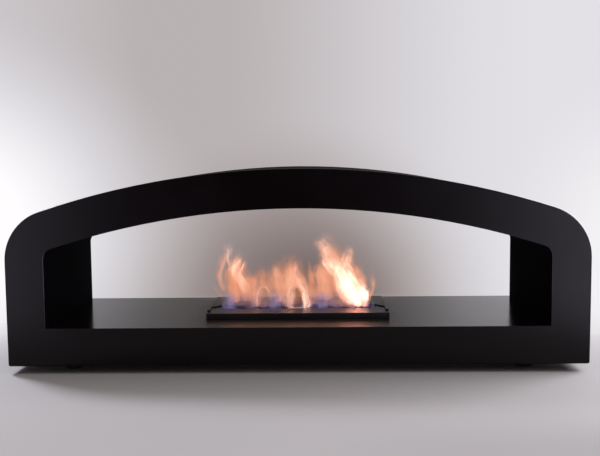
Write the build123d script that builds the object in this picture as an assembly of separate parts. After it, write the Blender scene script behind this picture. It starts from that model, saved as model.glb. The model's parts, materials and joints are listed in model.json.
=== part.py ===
from build123d import *
from math import sqrt
import os

# A free-standing bioethanol fireplace: a black sheet-steel bridge, open from front to back,
# with a burner let into its hearth. Millimetres. X runs along the width, +Y to the back and
# +Z up. The origin is on the floor, under the middle of the fireplace.

# ---------------------------------------------------------------- the form of the bridge
WIDTH = 1300.0
DEPTH = 400.0
CROWN_HEIGHT = 457.0            # floor to the top of the arch
SHADOW_GAP = 18.0               # floor to the underside of the body
HEARTH_HEIGHT = 104.0           # floor to the top of the hearth panel
COLUMN_WIDTH = 86.0             # each side column, seen from the front
ARCH_BAND = 88.0                # height of the arch at the crown
OUTER_ARCH_RADIUS = 1835.0
OPENING_ARCH_RADIUS = 1780.0
SHOULDER_RADIUS = 116.0         # outer top corners
OPENING_CORNER_RADIUS = 26.0    # inner top corners
BASE_CORNER_RADIUS = 5.0        # outer bottom corners

# ---------------------------------------------------------------- casing sheets
PANEL_SHEET = 2.0
PANEL_RETURN = 14.0             # depth of the edge that the face panels turn back
PANEL_EDGE_RADIUS = 3.0
SKIN_SHEET = 2.0
SKIN_FOLD = 30.0                # bottom flange of each side skin
LINER_SHEET = 1.5
LINER_FLANGE = 12.0
HEARTH_SHEET = 2.0
HEARTH_FLANGE = 12.0
BASE_SHEET = 2.0
FIT = 0.3                       # general assembly clearance

# ---------------------------------------------------------------- frame inside the casing
RAIL_WIDTH = 30.0
RAIL_HEIGHT = 25.0
RAIL_WALL = 2.0
RAIL_INSET = 15.0               # from the front or back of the body to the rail
RAIL_END_INSET = 12.0
CROSS_WIDTH = 30.0
CROSS_GAP = 36.0                # safety tray to the nearest cross member
SUPPORT_SIZE = 20.0
SUPPORT_WALL = 1.5
SUPPORT_END_INSET = 200.0       # side of the body to the outer supports
SPACER_END_INSET = 134.0        # from where the arch meets a shoulder
SPACERS_EACH_SIDE = 2
SPACER_SHEET = 2.0
SPACER_FLANGE = 25.0
SPACER_CLEARANCE = 1.0
BRACE_SHEET = 2.0
BRACE_DEPTH = 80.0
BRACE_TOP_GAP = 20.0            # head of the column brace to the shoulder
BRACE_LIFT = 6.0                # hearth panel to the foot of the column brace

# ---------------------------------------------------------------- burner
CUTOUT_LENGTH = 408.0
CUTOUT_DEPTH = 204.0
DECK_END_LAP = 9.5              # deck beyond the cut-out at each end
DECK_SIDE_LAP = 14.0            # and at the front and the back
DECK_HEIGHT = 16.0
DECK_SHEET = 1.5
DECK_CORNER_RADIUS = 2.0
DECK_EDGE_RADIUS = 0.8
SLOT_END_LAND = 27.5            # end of the deck to the slot
SLOT_WIDTH = 32.0
SLOT_CLIP = 10.0                # clipped corners of the slot
SLOT_SETBACK = 38.0             # slot centre line in front of the middle of the deck
COLLAR_WALL = 1.2
COLLAR_DROP = 12.0
COLLAR_FLANGE = 6.0
BOX_CLEARANCE = 8.0             # fuel box to the cut-out, all round
BOX_WALL = 1.2
BOX_DEPTH = 70.0
BOX_FLANGE = 6.0
RETAINER_SHEET = 1.0
RETAINER_HEIGHT = 39.0
RETAINER_COLUMNS = 9
RETAINER_ROWS = 7
RETAINER_HOLE_LENGTH = 28.0
RETAINER_HOLE_WIDTH = 8.0
RETAINER_MARGIN = 10.0
WOOL_CLEARANCE = 0.5
WELL_CLEARANCE = 4.0            # cut-out to the inside of the safety tray
WELL_SHEET = 1.2
WELL_DEPTH = 62.0
WELL_FLANGE = 12.0
BOARD_MARGIN = 20.0

# ---------------------------------------------------------------- sliding lid and its rails
LID_SHEET = 1.5
LID_DEPTH = 60.0
LID_HORN = 29.5                 # the lid's ends reach this far ahead of its middle
LID_PARK_GAP = 3.6              # slot collar to the parked lid
LID_OVERLAP = 5.0               # lid beyond the slot when closed
LID_SIDE_GAP = 0.5
LID_REAR_CLIP = 4.0
SLIDE_GAP = 0.3
GUIDE_WIDTH = 8.0
GUIDE_FLOOR = 1.0
GUIDE_WEB = 1.2
GUIDE_LIP = 6.0
GUIDE_LIP_SHEET = 1.0
TAB_LENGTH = 30.0
TAB_BASE = 10.0
TAB_HEIGHT = 10.0
TAB_SHEET = 1.5
TAB_INSET = 8.0                 # from the lid's rear edge

# ---------------------------------------------------------------- levelling feet and fasteners
FOOT_END_INSET = 130.0          # side of the body to the middle of a foot
FOOT_RAIL_INSET = 25.0          # base rail to the middle of a foot
FOOT_TRAVEL = 8.0
PAD_RADIUS = 22.0
PAD_HEIGHT = 10.0
PAD_CHAMFER = 1.5
HUB_RADIUS = 9.0
STEM_RADIUS = 5.0
STEM_SEAT = 4.0                 # sole thickness under the stem
STEM_LENGTH = 35.0
THREAD_CLEARANCE = 0.3
NUT_WIDTH = 17.0                # across flats
NUT_HEIGHT = 9.0
LOCK_NUT_HEIGHT = 5.0
SCREW_END_INSET = 70.0
SCREWS_EACH_SIDE = 2
SCREW_RADIUS = 2.0
SCREW_LENGTH = 8.0
SCREW_HEAD_RADIUS = 4.0
SCREW_HEAD_HEIGHT = 2.0
SCREW_CLEARANCE = 0.3

# ---------------------------------------------------------------- places that follow from these
HALF_WIDTH = WIDTH / 2
HALF_DEPTH = DEPTH / 2
PANEL_INNER_Y = HALF_DEPTH - PANEL_SHEET
SKIN_END_Y = HALF_DEPTH - PANEL_RETURN
OPENING_HALF = HALF_WIDTH - COLUMN_WIDTH
BASE_TOP = SHADOW_GAP + BASE_SHEET
RAIL_TOP = BASE_TOP + RAIL_HEIGHT
RAIL_Y = HALF_DEPTH - RAIL_INSET - RAIL_WIDTH / 2
HEARTH_UNDER = HEARTH_HEIGHT - HEARTH_SHEET
FOOT_X = HALF_WIDTH - FOOT_END_INSET
FOOT_Y = RAIL_Y - RAIL_WIDTH / 2 - FOOT_RAIL_INSET
SCREW_PITCH = (HALF_WIDTH - SCREW_END_INSET) / SCREWS_EACH_SIDE
SUPPORT_X = HALF_WIDTH - SUPPORT_END_INSET
DECK_LENGTH = CUTOUT_LENGTH + 2 * DECK_END_LAP
DECK_DEPTH = CUTOUT_DEPTH + 2 * DECK_SIDE_LAP
DECK_TOP = HEARTH_HEIGHT + DECK_HEIGHT
DECK_UNDER = DECK_TOP - DECK_SHEET
SLOT_LENGTH = DECK_LENGTH - 2 * SLOT_END_LAND
SLOT_HOLE_HALF = SLOT_WIDTH / 2 + COLLAR_WALL
BOX_LENGTH = CUTOUT_LENGTH - 2 * BOX_CLEARANCE
BOX_WIDTH = CUTOUT_DEPTH - 2 * BOX_CLEARANCE
BOX_FLOOR = DECK_UNDER - BOX_DEPTH + BOX_WALL
RETAINER_LENGTH = BOX_LENGTH - 2 * BOX_WALL - 2 * FIT
RETAINER_WIDTH = BOX_WIDTH - 2 * BOX_WALL - 2 * FIT
WELL_LENGTH = CUTOUT_LENGTH + 2 * WELL_CLEARANCE
WELL_WIDTH = CUTOUT_DEPTH + 2 * WELL_CLEARANCE
WELL_BOTTOM = HEARTH_UNDER - WELL_DEPTH
INNER_CROSS_X = WELL_LENGTH / 2 + WELL_SHEET + CROSS_GAP + CROSS_WIDTH / 2
LID_TRAVEL = 2 * SLOT_HOLE_HALF + LID_PARK_GAP + LID_OVERLAP
LID_BOTTOM = DECK_TOP + GUIDE_FLOOR + SLIDE_GAP
LID_TOP = LID_BOTTOM + LID_SHEET
LID_FRONT = -SLOT_SETBACK + SLOT_HOLE_HALF + LID_PARK_GAP
LID_REAR = LID_FRONT + LID_DEPTH
LID_HALF = DECK_LENGTH / 2 - GUIDE_WEB - LID_SIDE_GAP
HUB_TOP = SHADOW_GAP - LOCK_NUT_HEIGHT


# ---------------------------------------------------------------- shared shapes
class ArchProfile:
    """A flat-bottomed outline in XZ with upright sides, rounded shoulders and an arched top."""

    def __init__(self, half_width, bottom, crown, arch_radius, corner_radius, base_radius):
        self.half_width = half_width
        self.bottom = bottom
        self.arch_radius = arch_radius
        self.corner_radius = corner_radius
        self.base_radius = base_radius
        self.arch_centre = crown - arch_radius
        self.corner_x = half_width - corner_radius
        reach = arch_radius - corner_radius
        rise = sqrt(reach ** 2 - self.corner_x ** 2)
        self.corner_z = self.arch_centre + rise
        self.slope = (self.corner_x / reach, rise / reach)

    def on_arch_ray(self, radius, side=1):
        """The point at this radius on the ray where the arch meets a shoulder."""
        return (side * radius * self.slope[0], self.arch_centre + radius * self.slope[1])

    def height_at(self, x, grow=0.0):
        return self.arch_centre + sqrt((self.arch_radius + grow) ** 2 - x ** 2)

    def shoulder_arc(self, grow, side):
        radius = self.corner_radius + grow
        tilt = Vector(self.slope[0] + 1.0, self.slope[1]).normalized()
        middle = (side * (self.corner_x + radius * tilt.X), self.corner_z + radius * tilt.Y)
        foot = (side * (self.half_width + grow), self.corner_z)
        return ThreePointArc(self.on_arch_ray(self.arch_radius + grow, side), middle, foot)

    def base_corner(self, radius, grow, side):
        x = side * (self.half_width + grow)
        z = self.bottom - grow
        turn = radius * (1 - sqrt(0.5))
        return ThreePointArc((x, z + radius), (x - side * turn, z + turn), (x - side * radius, z))

    def face(self, grow=0.0):
        """The filled outline, with every edge moved outwards by grow."""
        base = max(self.base_radius + grow, 0.0) if self.base_radius else 0.0
        half = self.half_width + grow
        low = self.bottom - grow
        left = self.on_arch_ray(self.arch_radius + grow, -1)
        right = self.on_arch_ray(self.arch_radius + grow, 1)
        crown = (0, self.arch_centre + self.arch_radius + grow)
        edges = [ThreePointArc(left, crown, right), Line((-half + base, low), (half - base, low))]
        for side in (-1, 1):
            edges.append(self.shoulder_arc(grow, side))
            edges.append(Line((side * half, self.corner_z), (side * half, low + base)))
            if base:
                edges.append(self.base_corner(base, grow, side))
        return make_face(edges)

    def arch_sector(self):
        """A sector that holds the arch between its shoulders, and nothing of the sides."""
        inner = self.arch_radius - self.corner_radius
        outer = 2 * self.arch_radius
        corners = [self.on_arch_ray(inner, -1), self.on_arch_ray(outer, -1)]
        corners += [self.on_arch_ray(outer, 1), self.on_arch_ray(inner, 1)]
        return make_face(Polyline(*corners, close=True))


OUTLINE = ArchProfile(HALF_WIDTH, SHADOW_GAP, CROWN_HEIGHT, OUTER_ARCH_RADIUS,
                      SHOULDER_RADIUS, BASE_CORNER_RADIUS)
OPENING = ArchProfile(OPENING_HALF, HEARTH_HEIGHT, CROWN_HEIGHT - ARCH_BAND,
                      OPENING_ARCH_RADIUS, OPENING_CORNER_RADIUS, 0.0)


def slab(face, y_from, y_to):
    """An XZ outline, made solid between two depths."""
    return extrude(Plane.XZ.offset(-y_to) * face, y_to - y_from)


def plate(face, z_from, z_to):
    """An XY outline, made solid between two heights."""
    return extrude(Plane.XY.offset(z_from) * face, z_to - z_from)


def block(x_from, x_to, y_from, y_to, z_from, z_to):
    size = (x_to - x_from, y_to - y_from, z_to - z_from)
    middle = ((x_from + x_to) / 2, (y_from + y_to) / 2, (z_from + z_to) / 2)
    return Pos(*middle) * Box(*size)


def centred_block(x_size, y_size, z_from, z_to):
    return block(-x_size / 2, x_size / 2, -y_size / 2, y_size / 2, z_from, z_to)


def rod(radius, x, y, z_from, z_to):
    return Pos(x, y, (z_from + z_to) / 2) * Cylinder(radius, z_to - z_from)


def clipped_rectangle(length, width, clip):
    """A rectangle in XY with its four corners cut off at 45 degrees."""
    x = length / 2
    y = width / 2
    points = [(-x + clip, -y), (x - clip, -y), (x, -y + clip), (x, y - clip)]
    points += [(x - clip, y), (-x + clip, y), (-x, y - clip), (-x, -y + clip)]
    return make_face(Polyline(*points, close=True))


def slot_outline(grow):
    """The fuel slot, with every edge moved outwards by grow."""
    clip = SLOT_CLIP + grow * (2 - sqrt(2))
    face = clipped_rectangle(SLOT_LENGTH + 2 * grow, SLOT_WIDTH + 2 * grow, clip)
    return Pos(0, -SLOT_SETBACK, 0) * face


def open_tray(length, width, z_from, z_to, wall, flange):
    """A tray, open at the top, with a flange turned outwards at its rim."""
    outer = centred_block(length, width, z_from, z_to)
    rim = centred_block(length + 2 * flange, width + 2 * flange, z_to - wall, z_to)
    inside = centred_block(length - 2 * wall, width - 2 * wall, z_from + wall, z_to)
    return outer + rim - inside


def foot_places():
    return [(x, y) for y in (-FOOT_Y, FOOT_Y) for x in (-FOOT_X, FOOT_X)]


def screw_places():
    steps = range(-SCREWS_EACH_SIDE, SCREWS_EACH_SIDE + 1)
    return [(step * SCREW_PITCH, y) for y in (-RAIL_Y, RAIL_Y) for step in steps]


# ---------------------------------------------------------------- casing
def front_face_panel():
    """One sheet round the opening, turned back along its outer edge."""
    shell = slab(OUTLINE.face(), -HALF_DEPTH, -SKIN_END_Y)
    front_edges = shell.faces().sort_by(Axis.Y)[0].edges()
    shell = fillet(front_edges, PANEL_EDGE_RADIUS)
    shell -= slab(OUTLINE.face(-PANEL_SHEET), -PANEL_INNER_Y, -SKIN_END_Y)
    return shell - slab(OPENING.face(), -HALF_DEPTH, -SKIN_END_Y)


def skin_ring():
    ring = slab(OUTLINE.face(), -SKIN_END_Y, SKIN_END_Y)
    return ring - slab(OUTLINE.face(-SKIN_SHEET), -SKIN_END_Y, SKIN_END_Y)


def top_arch_skin():
    return skin_ring() & slab(OUTLINE.arch_sector(), -HALF_DEPTH, HALF_DEPTH)


def side_skin(side):
    """One outer side, from its bottom flange up to where the arch begins."""
    rest = skin_ring() - slab(OUTLINE.arch_sector(), -HALF_DEPTH, HALF_DEPTH)
    inner = HALF_WIDTH - SKIN_FOLD
    rest -= block(-inner, inner, -HALF_DEPTH, HALF_DEPTH, SHADOW_GAP, OUTLINE.corner_z)
    return rest.solids().sort_by(Axis.X)[0 if side < 0 else -1]


def liner_ring():
    """The inner lining of the opening, with a flange behind each face panel."""
    ring = slab(OPENING.face(LINER_SHEET), -PANEL_INNER_Y, PANEL_INNER_Y)
    flange = OPENING.face(LINER_FLANGE)
    ring += slab(flange, -PANEL_INNER_Y, -PANEL_INNER_Y + LINER_SHEET)
    ring += slab(flange, PANEL_INNER_Y - LINER_SHEET, PANEL_INNER_Y)
    return ring - slab(OPENING.face(), -HALF_DEPTH, HALF_DEPTH)


def arch_soffit():
    return liner_ring() & slab(OPENING.arch_sector(), -HALF_DEPTH, HALF_DEPTH)


def inner_wall(side):
    """One side of the opening: it stands on the hearth panel and turns into the arch."""
    rest = liner_ring() - slab(OPENING.arch_sector(), -HALF_DEPTH, HALF_DEPTH)
    rest -= block(-WIDTH, WIDTH, -DEPTH, DEPTH, 0, HEARTH_HEIGHT)
    return rest.solids().sort_by(Axis.X)[0 if side < 0 else -1]


def hearth_panel():
    """The hearth: a flat sheet folded down at its edges and cut out for the burner."""
    length = 2 * (OPENING_HALF + LINER_FLANGE)
    width = 2 * PANEL_INNER_Y
    panel = centred_block(length, width, HEARTH_UNDER - HEARTH_FLANGE, HEARTH_HEIGHT)
    fold = 2 * HEARTH_SHEET
    panel -= centred_block(length - fold, width - fold, SHADOW_GAP, HEARTH_UNDER)
    return panel - centred_block(CUTOUT_LENGTH, CUTOUT_DEPTH, SHADOW_GAP, HEARTH_HEIGHT)


def base_plate():
    length = WIDTH - 2 * (SKIN_FOLD + FIT)
    width = 2 * (SKIN_END_Y - FIT)
    sheet = centred_block(length, width, SHADOW_GAP, BASE_TOP)
    for x, y in foot_places():
        sheet -= rod(STEM_RADIUS + THREAD_CLEARANCE, x, y, 0, BASE_TOP)
    for x, y in screw_places():
        sheet -= rod(SCREW_RADIUS + SCREW_CLEARANCE, x, y, 0, BASE_TOP)
    return sheet


# ---------------------------------------------------------------- frame inside the casing
def base_rail(side):
    """A square tube along the base, drilled for the base plate's screws."""
    half = HALF_WIDTH - RAIL_END_INSET
    y_from = side * RAIL_Y - RAIL_WIDTH / 2
    y_to = side * RAIL_Y + RAIL_WIDTH / 2
    tube = block(-half, half, y_from, y_to, BASE_TOP, RAIL_TOP)
    tube -= block(-half, half, y_from + RAIL_WALL, y_to - RAIL_WALL,
                  BASE_TOP + RAIL_WALL, RAIL_TOP - RAIL_WALL)
    for x, y in screw_places():
        if y * side > 0:
            tube -= rod(SCREW_RADIUS + SCREW_CLEARANCE, x, y, 0, BASE_TOP + RAIL_WALL)
    return tube


def base_cross_members():
    """Four tubes between the base rails. The outer two carry the feet."""
    half = RAIL_Y - RAIL_WIDTH / 2
    tubes = []
    for x in (-FOOT_X, -INNER_CROSS_X, INNER_CROSS_X, FOOT_X):
        low = x - CROSS_WIDTH / 2
        high = x + CROSS_WIDTH / 2
        tube = block(low, high, -half, half, BASE_TOP, RAIL_TOP)
        tube -= block(low + RAIL_WALL, high - RAIL_WALL, -half, half,
                      BASE_TOP + RAIL_WALL, RAIL_TOP - RAIL_WALL)
        for foot_x, foot_y in foot_places():
            tube -= rod(STEM_RADIUS + THREAD_CLEARANCE, foot_x, foot_y, 0, BASE_TOP + RAIL_WALL)
        tubes.append(tube)
    return Compound(children=tubes)


def hearth_supports():
    """Short posts that stand on the base rails and carry the hearth panel."""
    posts = []
    for x in (-SUPPORT_X, 0, SUPPORT_X):
        for y in (-RAIL_Y, RAIL_Y):
            post = centred_block(SUPPORT_SIZE, SUPPORT_SIZE, RAIL_TOP, HEARTH_UNDER)
            bore = SUPPORT_SIZE - 2 * SUPPORT_WALL
            post -= centred_block(bore, bore, RAIL_TOP, HEARTH_UNDER)
            posts.append(Pos(x, y, 0) * post)
    return Compound(children=posts)


def arch_spacers():
    """Upright channels inside the arch, from the front panel to the rear panel."""
    spacers = []
    pitch = (OUTLINE.corner_x - SPACER_END_INSET) / SPACERS_EACH_SIDE
    for step in range(-SPACERS_EACH_SIDE, SPACERS_EACH_SIDE + 1):
        x = step * pitch
        near = max(abs(x) - SPACER_FLANGE / 2, 0)
        far = abs(x) + SPACER_FLANGE / 2
        low = OPENING.height_at(near, LINER_FLANGE) + SPACER_CLEARANCE
        high = OUTLINE.height_at(far, -SKIN_SHEET) - SPACER_CLEARANCE
        web = block(x - SPACER_SHEET / 2, x + SPACER_SHEET / 2,
                    -PANEL_INNER_Y, PANEL_INNER_Y, low, high)
        flanges = block(x - SPACER_FLANGE / 2, x + SPACER_FLANGE / 2,
                        -PANEL_INNER_Y, PANEL_INNER_Y, low, high)
        gap = PANEL_INNER_Y - SPACER_SHEET
        flanges -= block(x - SPACER_FLANGE, x + SPACER_FLANGE, -gap, gap, low, high)
        spacers.append(web + flanges)
    return Compound(children=spacers)


def column_brace(side):
    """An H-section post that ties the outer skin to the inner wall of a column."""
    x_inner = OPENING_HALF + LINER_SHEET
    x_outer = HALF_WIDTH - SKIN_SHEET
    low = HEARTH_HEIGHT + BRACE_LIFT
    high = min(OUTLINE.corner_z, OPENING.corner_z) - BRACE_TOP_GAP
    half = BRACE_DEPTH / 2
    post = block(x_inner, x_outer, -half, half, low, high)
    web = block(x_inner, x_outer, -BRACE_SHEET / 2, BRACE_SHEET / 2, low, high)
    post -= block(x_inner + BRACE_SHEET, x_outer - BRACE_SHEET, -half, half, low, high)
    post += web
    return post if side > 0 else mirror(post, about=Plane.YZ)


# ---------------------------------------------------------------- burner
def burner_deck():
    """The low tray that shows on the hearth, with its lip and the fuel slot."""
    half_x = DECK_LENGTH / 2
    half_y = DECK_DEPTH / 2
    tray = block(-half_x, half_x, -half_y, half_y, HEARTH_HEIGHT, DECK_TOP)
    tray = fillet(tray.edges().filter_by(Axis.Z), DECK_CORNER_RADIUS)
    tray = fillet(tray.faces().sort_by(Axis.Z)[-1].edges(), DECK_EDGE_RADIUS)
    tray -= centred_block(DECK_LENGTH - 2 * DECK_SHEET, DECK_DEPTH - 2 * DECK_SHEET,
                          HEARTH_HEIGHT, DECK_UNDER)
    return tray - plate(slot_outline(COLLAR_WALL), DECK_UNDER, DECK_TOP)


def slot_collar():
    """The rim that lines the slot, hung under the deck by its flange."""
    collar = plate(slot_outline(COLLAR_WALL), DECK_TOP - COLLAR_DROP, DECK_TOP)
    collar += plate(slot_outline(COLLAR_FLANGE), DECK_UNDER - COLLAR_WALL, DECK_UNDER)
    return collar - plate(slot_outline(0), 0, DECK_TOP)


def fuel_box():
    return open_tray(BOX_LENGTH, BOX_WIDTH, DECK_UNDER - BOX_DEPTH, DECK_UNDER,
                     BOX_WALL, BOX_FLANGE)


def wool_retainer():
    """A perforated cover that stands on the fuel box floor and holds the wool down."""
    top = BOX_FLOOR + RETAINER_HEIGHT
    cover = centred_block(RETAINER_LENGTH, RETAINER_WIDTH, BOX_FLOOR, top)
    cover -= centred_block(RETAINER_LENGTH - 2 * RETAINER_SHEET,
                           RETAINER_WIDTH - 2 * RETAINER_SHEET, BOX_FLOOR, top - RETAINER_SHEET)
    x_pitch = (RETAINER_LENGTH - 2 * RETAINER_MARGIN) / RETAINER_COLUMNS
    y_pitch = (RETAINER_WIDTH - 2 * RETAINER_MARGIN) / RETAINER_ROWS
    hole = SlotOverall(RETAINER_HOLE_LENGTH, RETAINER_HOLE_WIDTH)
    holes = GridLocations(x_pitch, y_pitch, RETAINER_COLUMNS, RETAINER_ROWS)
    pattern = [plate(place * hole, top - RETAINER_SHEET, top) for place in holes]
    return cover - pattern


def ceramic_wool():
    """The absorbent filling, under the retainer."""
    gap = 2 * (RETAINER_SHEET + WOOL_CLEARANCE)
    top = BOX_FLOOR + RETAINER_HEIGHT - RETAINER_SHEET - WOOL_CLEARANCE
    return centred_block(RETAINER_LENGTH - gap, RETAINER_WIDTH - gap, BOX_FLOOR, top)


def burner_well():
    """The safety tray under the cut-out, which the fuel box hangs in."""
    return open_tray(WELL_LENGTH + 2 * WELL_SHEET, WELL_WIDTH + 2 * WELL_SHEET,
                     WELL_BOTTOM, HEARTH_UNDER, WELL_SHEET, WELL_FLANGE)


def insulation_board():
    return centred_block(WELL_LENGTH - 2 * BOARD_MARGIN, WELL_WIDTH - 2 * BOARD_MARGIN,
                         BASE_TOP, WELL_BOTTOM)


# ---------------------------------------------------------------- lid and its rails
def guide_rail(side):
    """A C-section at one end of the deck, closed at both ends, which the lid runs in."""
    front = LID_FRONT - LID_HORN - LID_TRAVEL - SLIDE_GAP
    rear = LID_REAR + SLIDE_GAP
    outer = DECK_LENGTH / 2
    channel_top = LID_TOP + SLIDE_GAP
    rail = block(outer - GUIDE_WIDTH, outer, front - GUIDE_WEB, rear + GUIDE_WEB,
                 DECK_TOP, DECK_TOP + GUIDE_FLOOR)
    rail += block(outer - GUIDE_LIP, outer, front - GUIDE_WEB, rear + GUIDE_WEB,
                  DECK_TOP, channel_top + GUIDE_LIP_SHEET)
    rail -= block(outer - GUIDE_WIDTH, outer - GUIDE_WEB, front, rear,
                  DECK_TOP + GUIDE_FLOOR, channel_top)
    return rail if side > 0 else mirror(rail, about=Plane.YZ)


def sliding_lid():
    """The plate that closes the slot. Its front edge is set back between two clipped ends."""
    horn_front = LID_FRONT - LID_HORN
    horn_root = LID_HALF - LID_HORN
    clip = LID_REAR_CLIP
    points = [(-LID_HALF, horn_front), (-horn_root, LID_FRONT), (horn_root, LID_FRONT)]
    points += [(LID_HALF, horn_front), (LID_HALF, LID_REAR - clip), (LID_HALF - clip, LID_REAR)]
    points += [(-LID_HALF + clip, LID_REAR), (-LID_HALF, LID_REAR - clip)]
    return plate(make_face(Polyline(*points, close=True)), LID_BOTTOM, LID_TOP)


def lid_tab():
    """A small angle on the lid, which a rod pushes to move it."""
    half = TAB_LENGTH / 2
    rear = LID_REAR - TAB_INSET
    tab = block(-half, half, rear - TAB_BASE, rear, LID_TOP, LID_TOP + TAB_SHEET)
    return tab + block(-half, half, rear - TAB_SHEET, rear, LID_TOP, LID_TOP + TAB_HEIGHT)


# ---------------------------------------------------------------- feet and fasteners
def hex_nut(x, y, z_from, height):
    nut = extrude(RegularPolygon(NUT_WIDTH / 2, 6, major_radius=False), height)
    nut -= extrude(Circle(STEM_RADIUS + THREAD_CLEARANCE), height)
    return Pos(x, y, z_from) * nut


def foot_nuts():
    """Threaded nuts inside the outer cross members."""
    return Compound(children=[hex_nut(x, y, BASE_TOP + RAIL_WALL, NUT_HEIGHT)
                              for x, y in foot_places()])


def foot_lock_nuts():
    """Lock nuts under the base plate. A foot screwed fully in rests against its lock nut."""
    return Compound(children=[hex_nut(x, y, HUB_TOP, LOCK_NUT_HEIGHT) for x, y in foot_places()])


def foot_pad(x, y):
    pad = rod(PAD_RADIUS, x, y, 0, PAD_HEIGHT)
    pad = chamfer(pad.edges().filter_by(GeomType.CIRCLE), PAD_CHAMFER)
    pad += rod(HUB_RADIUS, x, y, PAD_HEIGHT, HUB_TOP)
    return pad - rod(STEM_RADIUS + THREAD_CLEARANCE, x, y, STEM_SEAT, HUB_TOP)


def foot_stem(x, y):
    stem = rod(STEM_RADIUS, x, y, STEM_SEAT, STEM_SEAT + STEM_LENGTH)
    return chamfer(stem.edges().filter_by(GeomType.CIRCLE).sort_by(Axis.Z)[-1], 1.0)


def base_plate_screws():
    """Pan-head screws, from below through the base plate into the base rails."""
    screws = []
    for x, y in screw_places():
        head = rod(SCREW_HEAD_RADIUS, x, y, SHADOW_GAP - SCREW_HEAD_HEIGHT, SHADOW_GAP)
        shank = rod(SCREW_RADIUS, x, y, SHADOW_GAP, SHADOW_GAP + SCREW_LENGTH)
        screws.append(head + shank)
    return Compound(children=screws)


# ---------------------------------------------------------------- write every piece
def all_pieces():
    front = front_face_panel()
    pieces = {
        "front_face_panel": front,
        "rear_face_panel": mirror(front, about=Plane.XZ),
        "left_side_skin": side_skin(-1),
        "right_side_skin": side_skin(1),
        "top_arch_skin": top_arch_skin(),
        "left_inner_wall": inner_wall(-1),
        "right_inner_wall": inner_wall(1),
        "arch_soffit": arch_soffit(),
        "hearth_panel": hearth_panel(),
        "base_plate": base_plate(),
        "front_base_rail": base_rail(-1),
        "rear_base_rail": base_rail(1),
        "base_cross_members": base_cross_members(),
        "hearth_supports": hearth_supports(),
        "arch_spacers": arch_spacers(),
        "left_column_brace": column_brace(-1),
        "right_column_brace": column_brace(1),
        "burner_well": burner_well(),
        "insulation_board": insulation_board(),
        "foot_nuts": foot_nuts(),
        "foot_lock_nuts": foot_lock_nuts(),
        "base_plate_screws": base_plate_screws(),
        "burner_deck": burner_deck(),
        "slot_collar": slot_collar(),
        "fuel_box": fuel_box(),
        "ceramic_wool": ceramic_wool(),
        "wool_retainer": wool_retainer(),
        "left_guide_rail": guide_rail(-1),
        "right_guide_rail": guide_rail(1),
        "sliding_lid": sliding_lid(),
        "lid_tab": lid_tab(),
    }
    names = ["front_left", "front_right", "rear_left", "rear_right"]
    for name, (x, y) in zip(names, foot_places()):
        pieces["foot_pad_" + name] = foot_pad(x, y)
        pieces["foot_stem_" + name] = foot_stem(x, y)
    return pieces


os.makedirs("parts", exist_ok=True)
for node, shape in all_pieces().items():
    export_step(shape, "parts/" + node + ".step")
print("lid travel", LID_TRAVEL, "mm; foot travel", FOOT_TRAVEL, "mm")
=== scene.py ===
# %% [markdown]
# # A free-standing bioethanol fireplace
#
# The object is a black sheet-steel bridge, open from front to back, with a burner let into its
# hearth. The rigid pieces come in from the CAD model as a fixed frame, already in their places.
# This lesson gives each of them its finish, makes the pieces that solid modelling can't give,
# which are the flames, the fibres of the wool and the fine forms of the fasteners, and then
# lights and frames the whole. Lengths are in metres, except along the flames' paths.

# %% Load the frame
import json
from math import cos, hypot, pi, radians, sin, sqrt
from random import Random

import bmesh
import bpy
from mathutils import Matrix, Vector
from mathutils import noise as lumps

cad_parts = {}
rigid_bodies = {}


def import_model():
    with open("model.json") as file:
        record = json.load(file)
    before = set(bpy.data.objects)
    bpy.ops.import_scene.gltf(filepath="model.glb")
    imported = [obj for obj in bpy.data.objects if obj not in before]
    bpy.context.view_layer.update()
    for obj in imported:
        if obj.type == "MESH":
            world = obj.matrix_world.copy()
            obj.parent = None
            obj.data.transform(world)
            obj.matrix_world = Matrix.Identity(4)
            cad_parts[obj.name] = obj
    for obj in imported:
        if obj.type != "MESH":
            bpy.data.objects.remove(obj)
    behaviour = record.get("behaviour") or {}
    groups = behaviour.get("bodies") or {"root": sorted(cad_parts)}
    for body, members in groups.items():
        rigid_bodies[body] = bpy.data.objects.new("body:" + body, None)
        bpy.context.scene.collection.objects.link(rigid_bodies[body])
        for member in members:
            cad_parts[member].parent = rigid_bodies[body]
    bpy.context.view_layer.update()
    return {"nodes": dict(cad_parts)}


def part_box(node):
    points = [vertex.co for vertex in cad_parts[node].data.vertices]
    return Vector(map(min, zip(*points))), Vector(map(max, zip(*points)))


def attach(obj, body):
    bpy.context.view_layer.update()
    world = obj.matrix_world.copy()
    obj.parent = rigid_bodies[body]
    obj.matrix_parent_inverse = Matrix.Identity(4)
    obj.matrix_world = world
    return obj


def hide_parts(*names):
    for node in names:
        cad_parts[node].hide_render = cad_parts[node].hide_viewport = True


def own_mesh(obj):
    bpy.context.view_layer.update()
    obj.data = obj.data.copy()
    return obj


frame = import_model()

# %% [markdown]
# ## Places that the CAD model gives
#
# New pieces have to sit on what carries them, so their places are read from the CAD pieces'
# boxes. A number typed in twice could come to disagree with itself. A box can't.

# %% Read the places
collar_low, collar_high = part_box("slot_collar")
wool_low, wool_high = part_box("ceramic_wool")
screws_low, screws_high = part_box("base_plate_screws")
nuts_low, nuts_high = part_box("foot_lock_nuts")

SLOT_Y = (collar_low.y + collar_high.y) / 2
DECK_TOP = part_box("burner_deck")[1].z
print("slot centre line at y =", round(SLOT_Y, 4), "and deck top at z =", round(DECK_TOP, 4))

# %% [markdown]
# ## Helpers for node trees
#
# Materials, the world and Geometry Nodes are all trees of nodes with links between their
# sockets. One helper puts a node in a tree and fills its inputs: an input that is given a socket
# is linked, and any other is set as a plain value. The others are short names for the nodes
# that come back most: sums, products, ranges and vectors.

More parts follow.
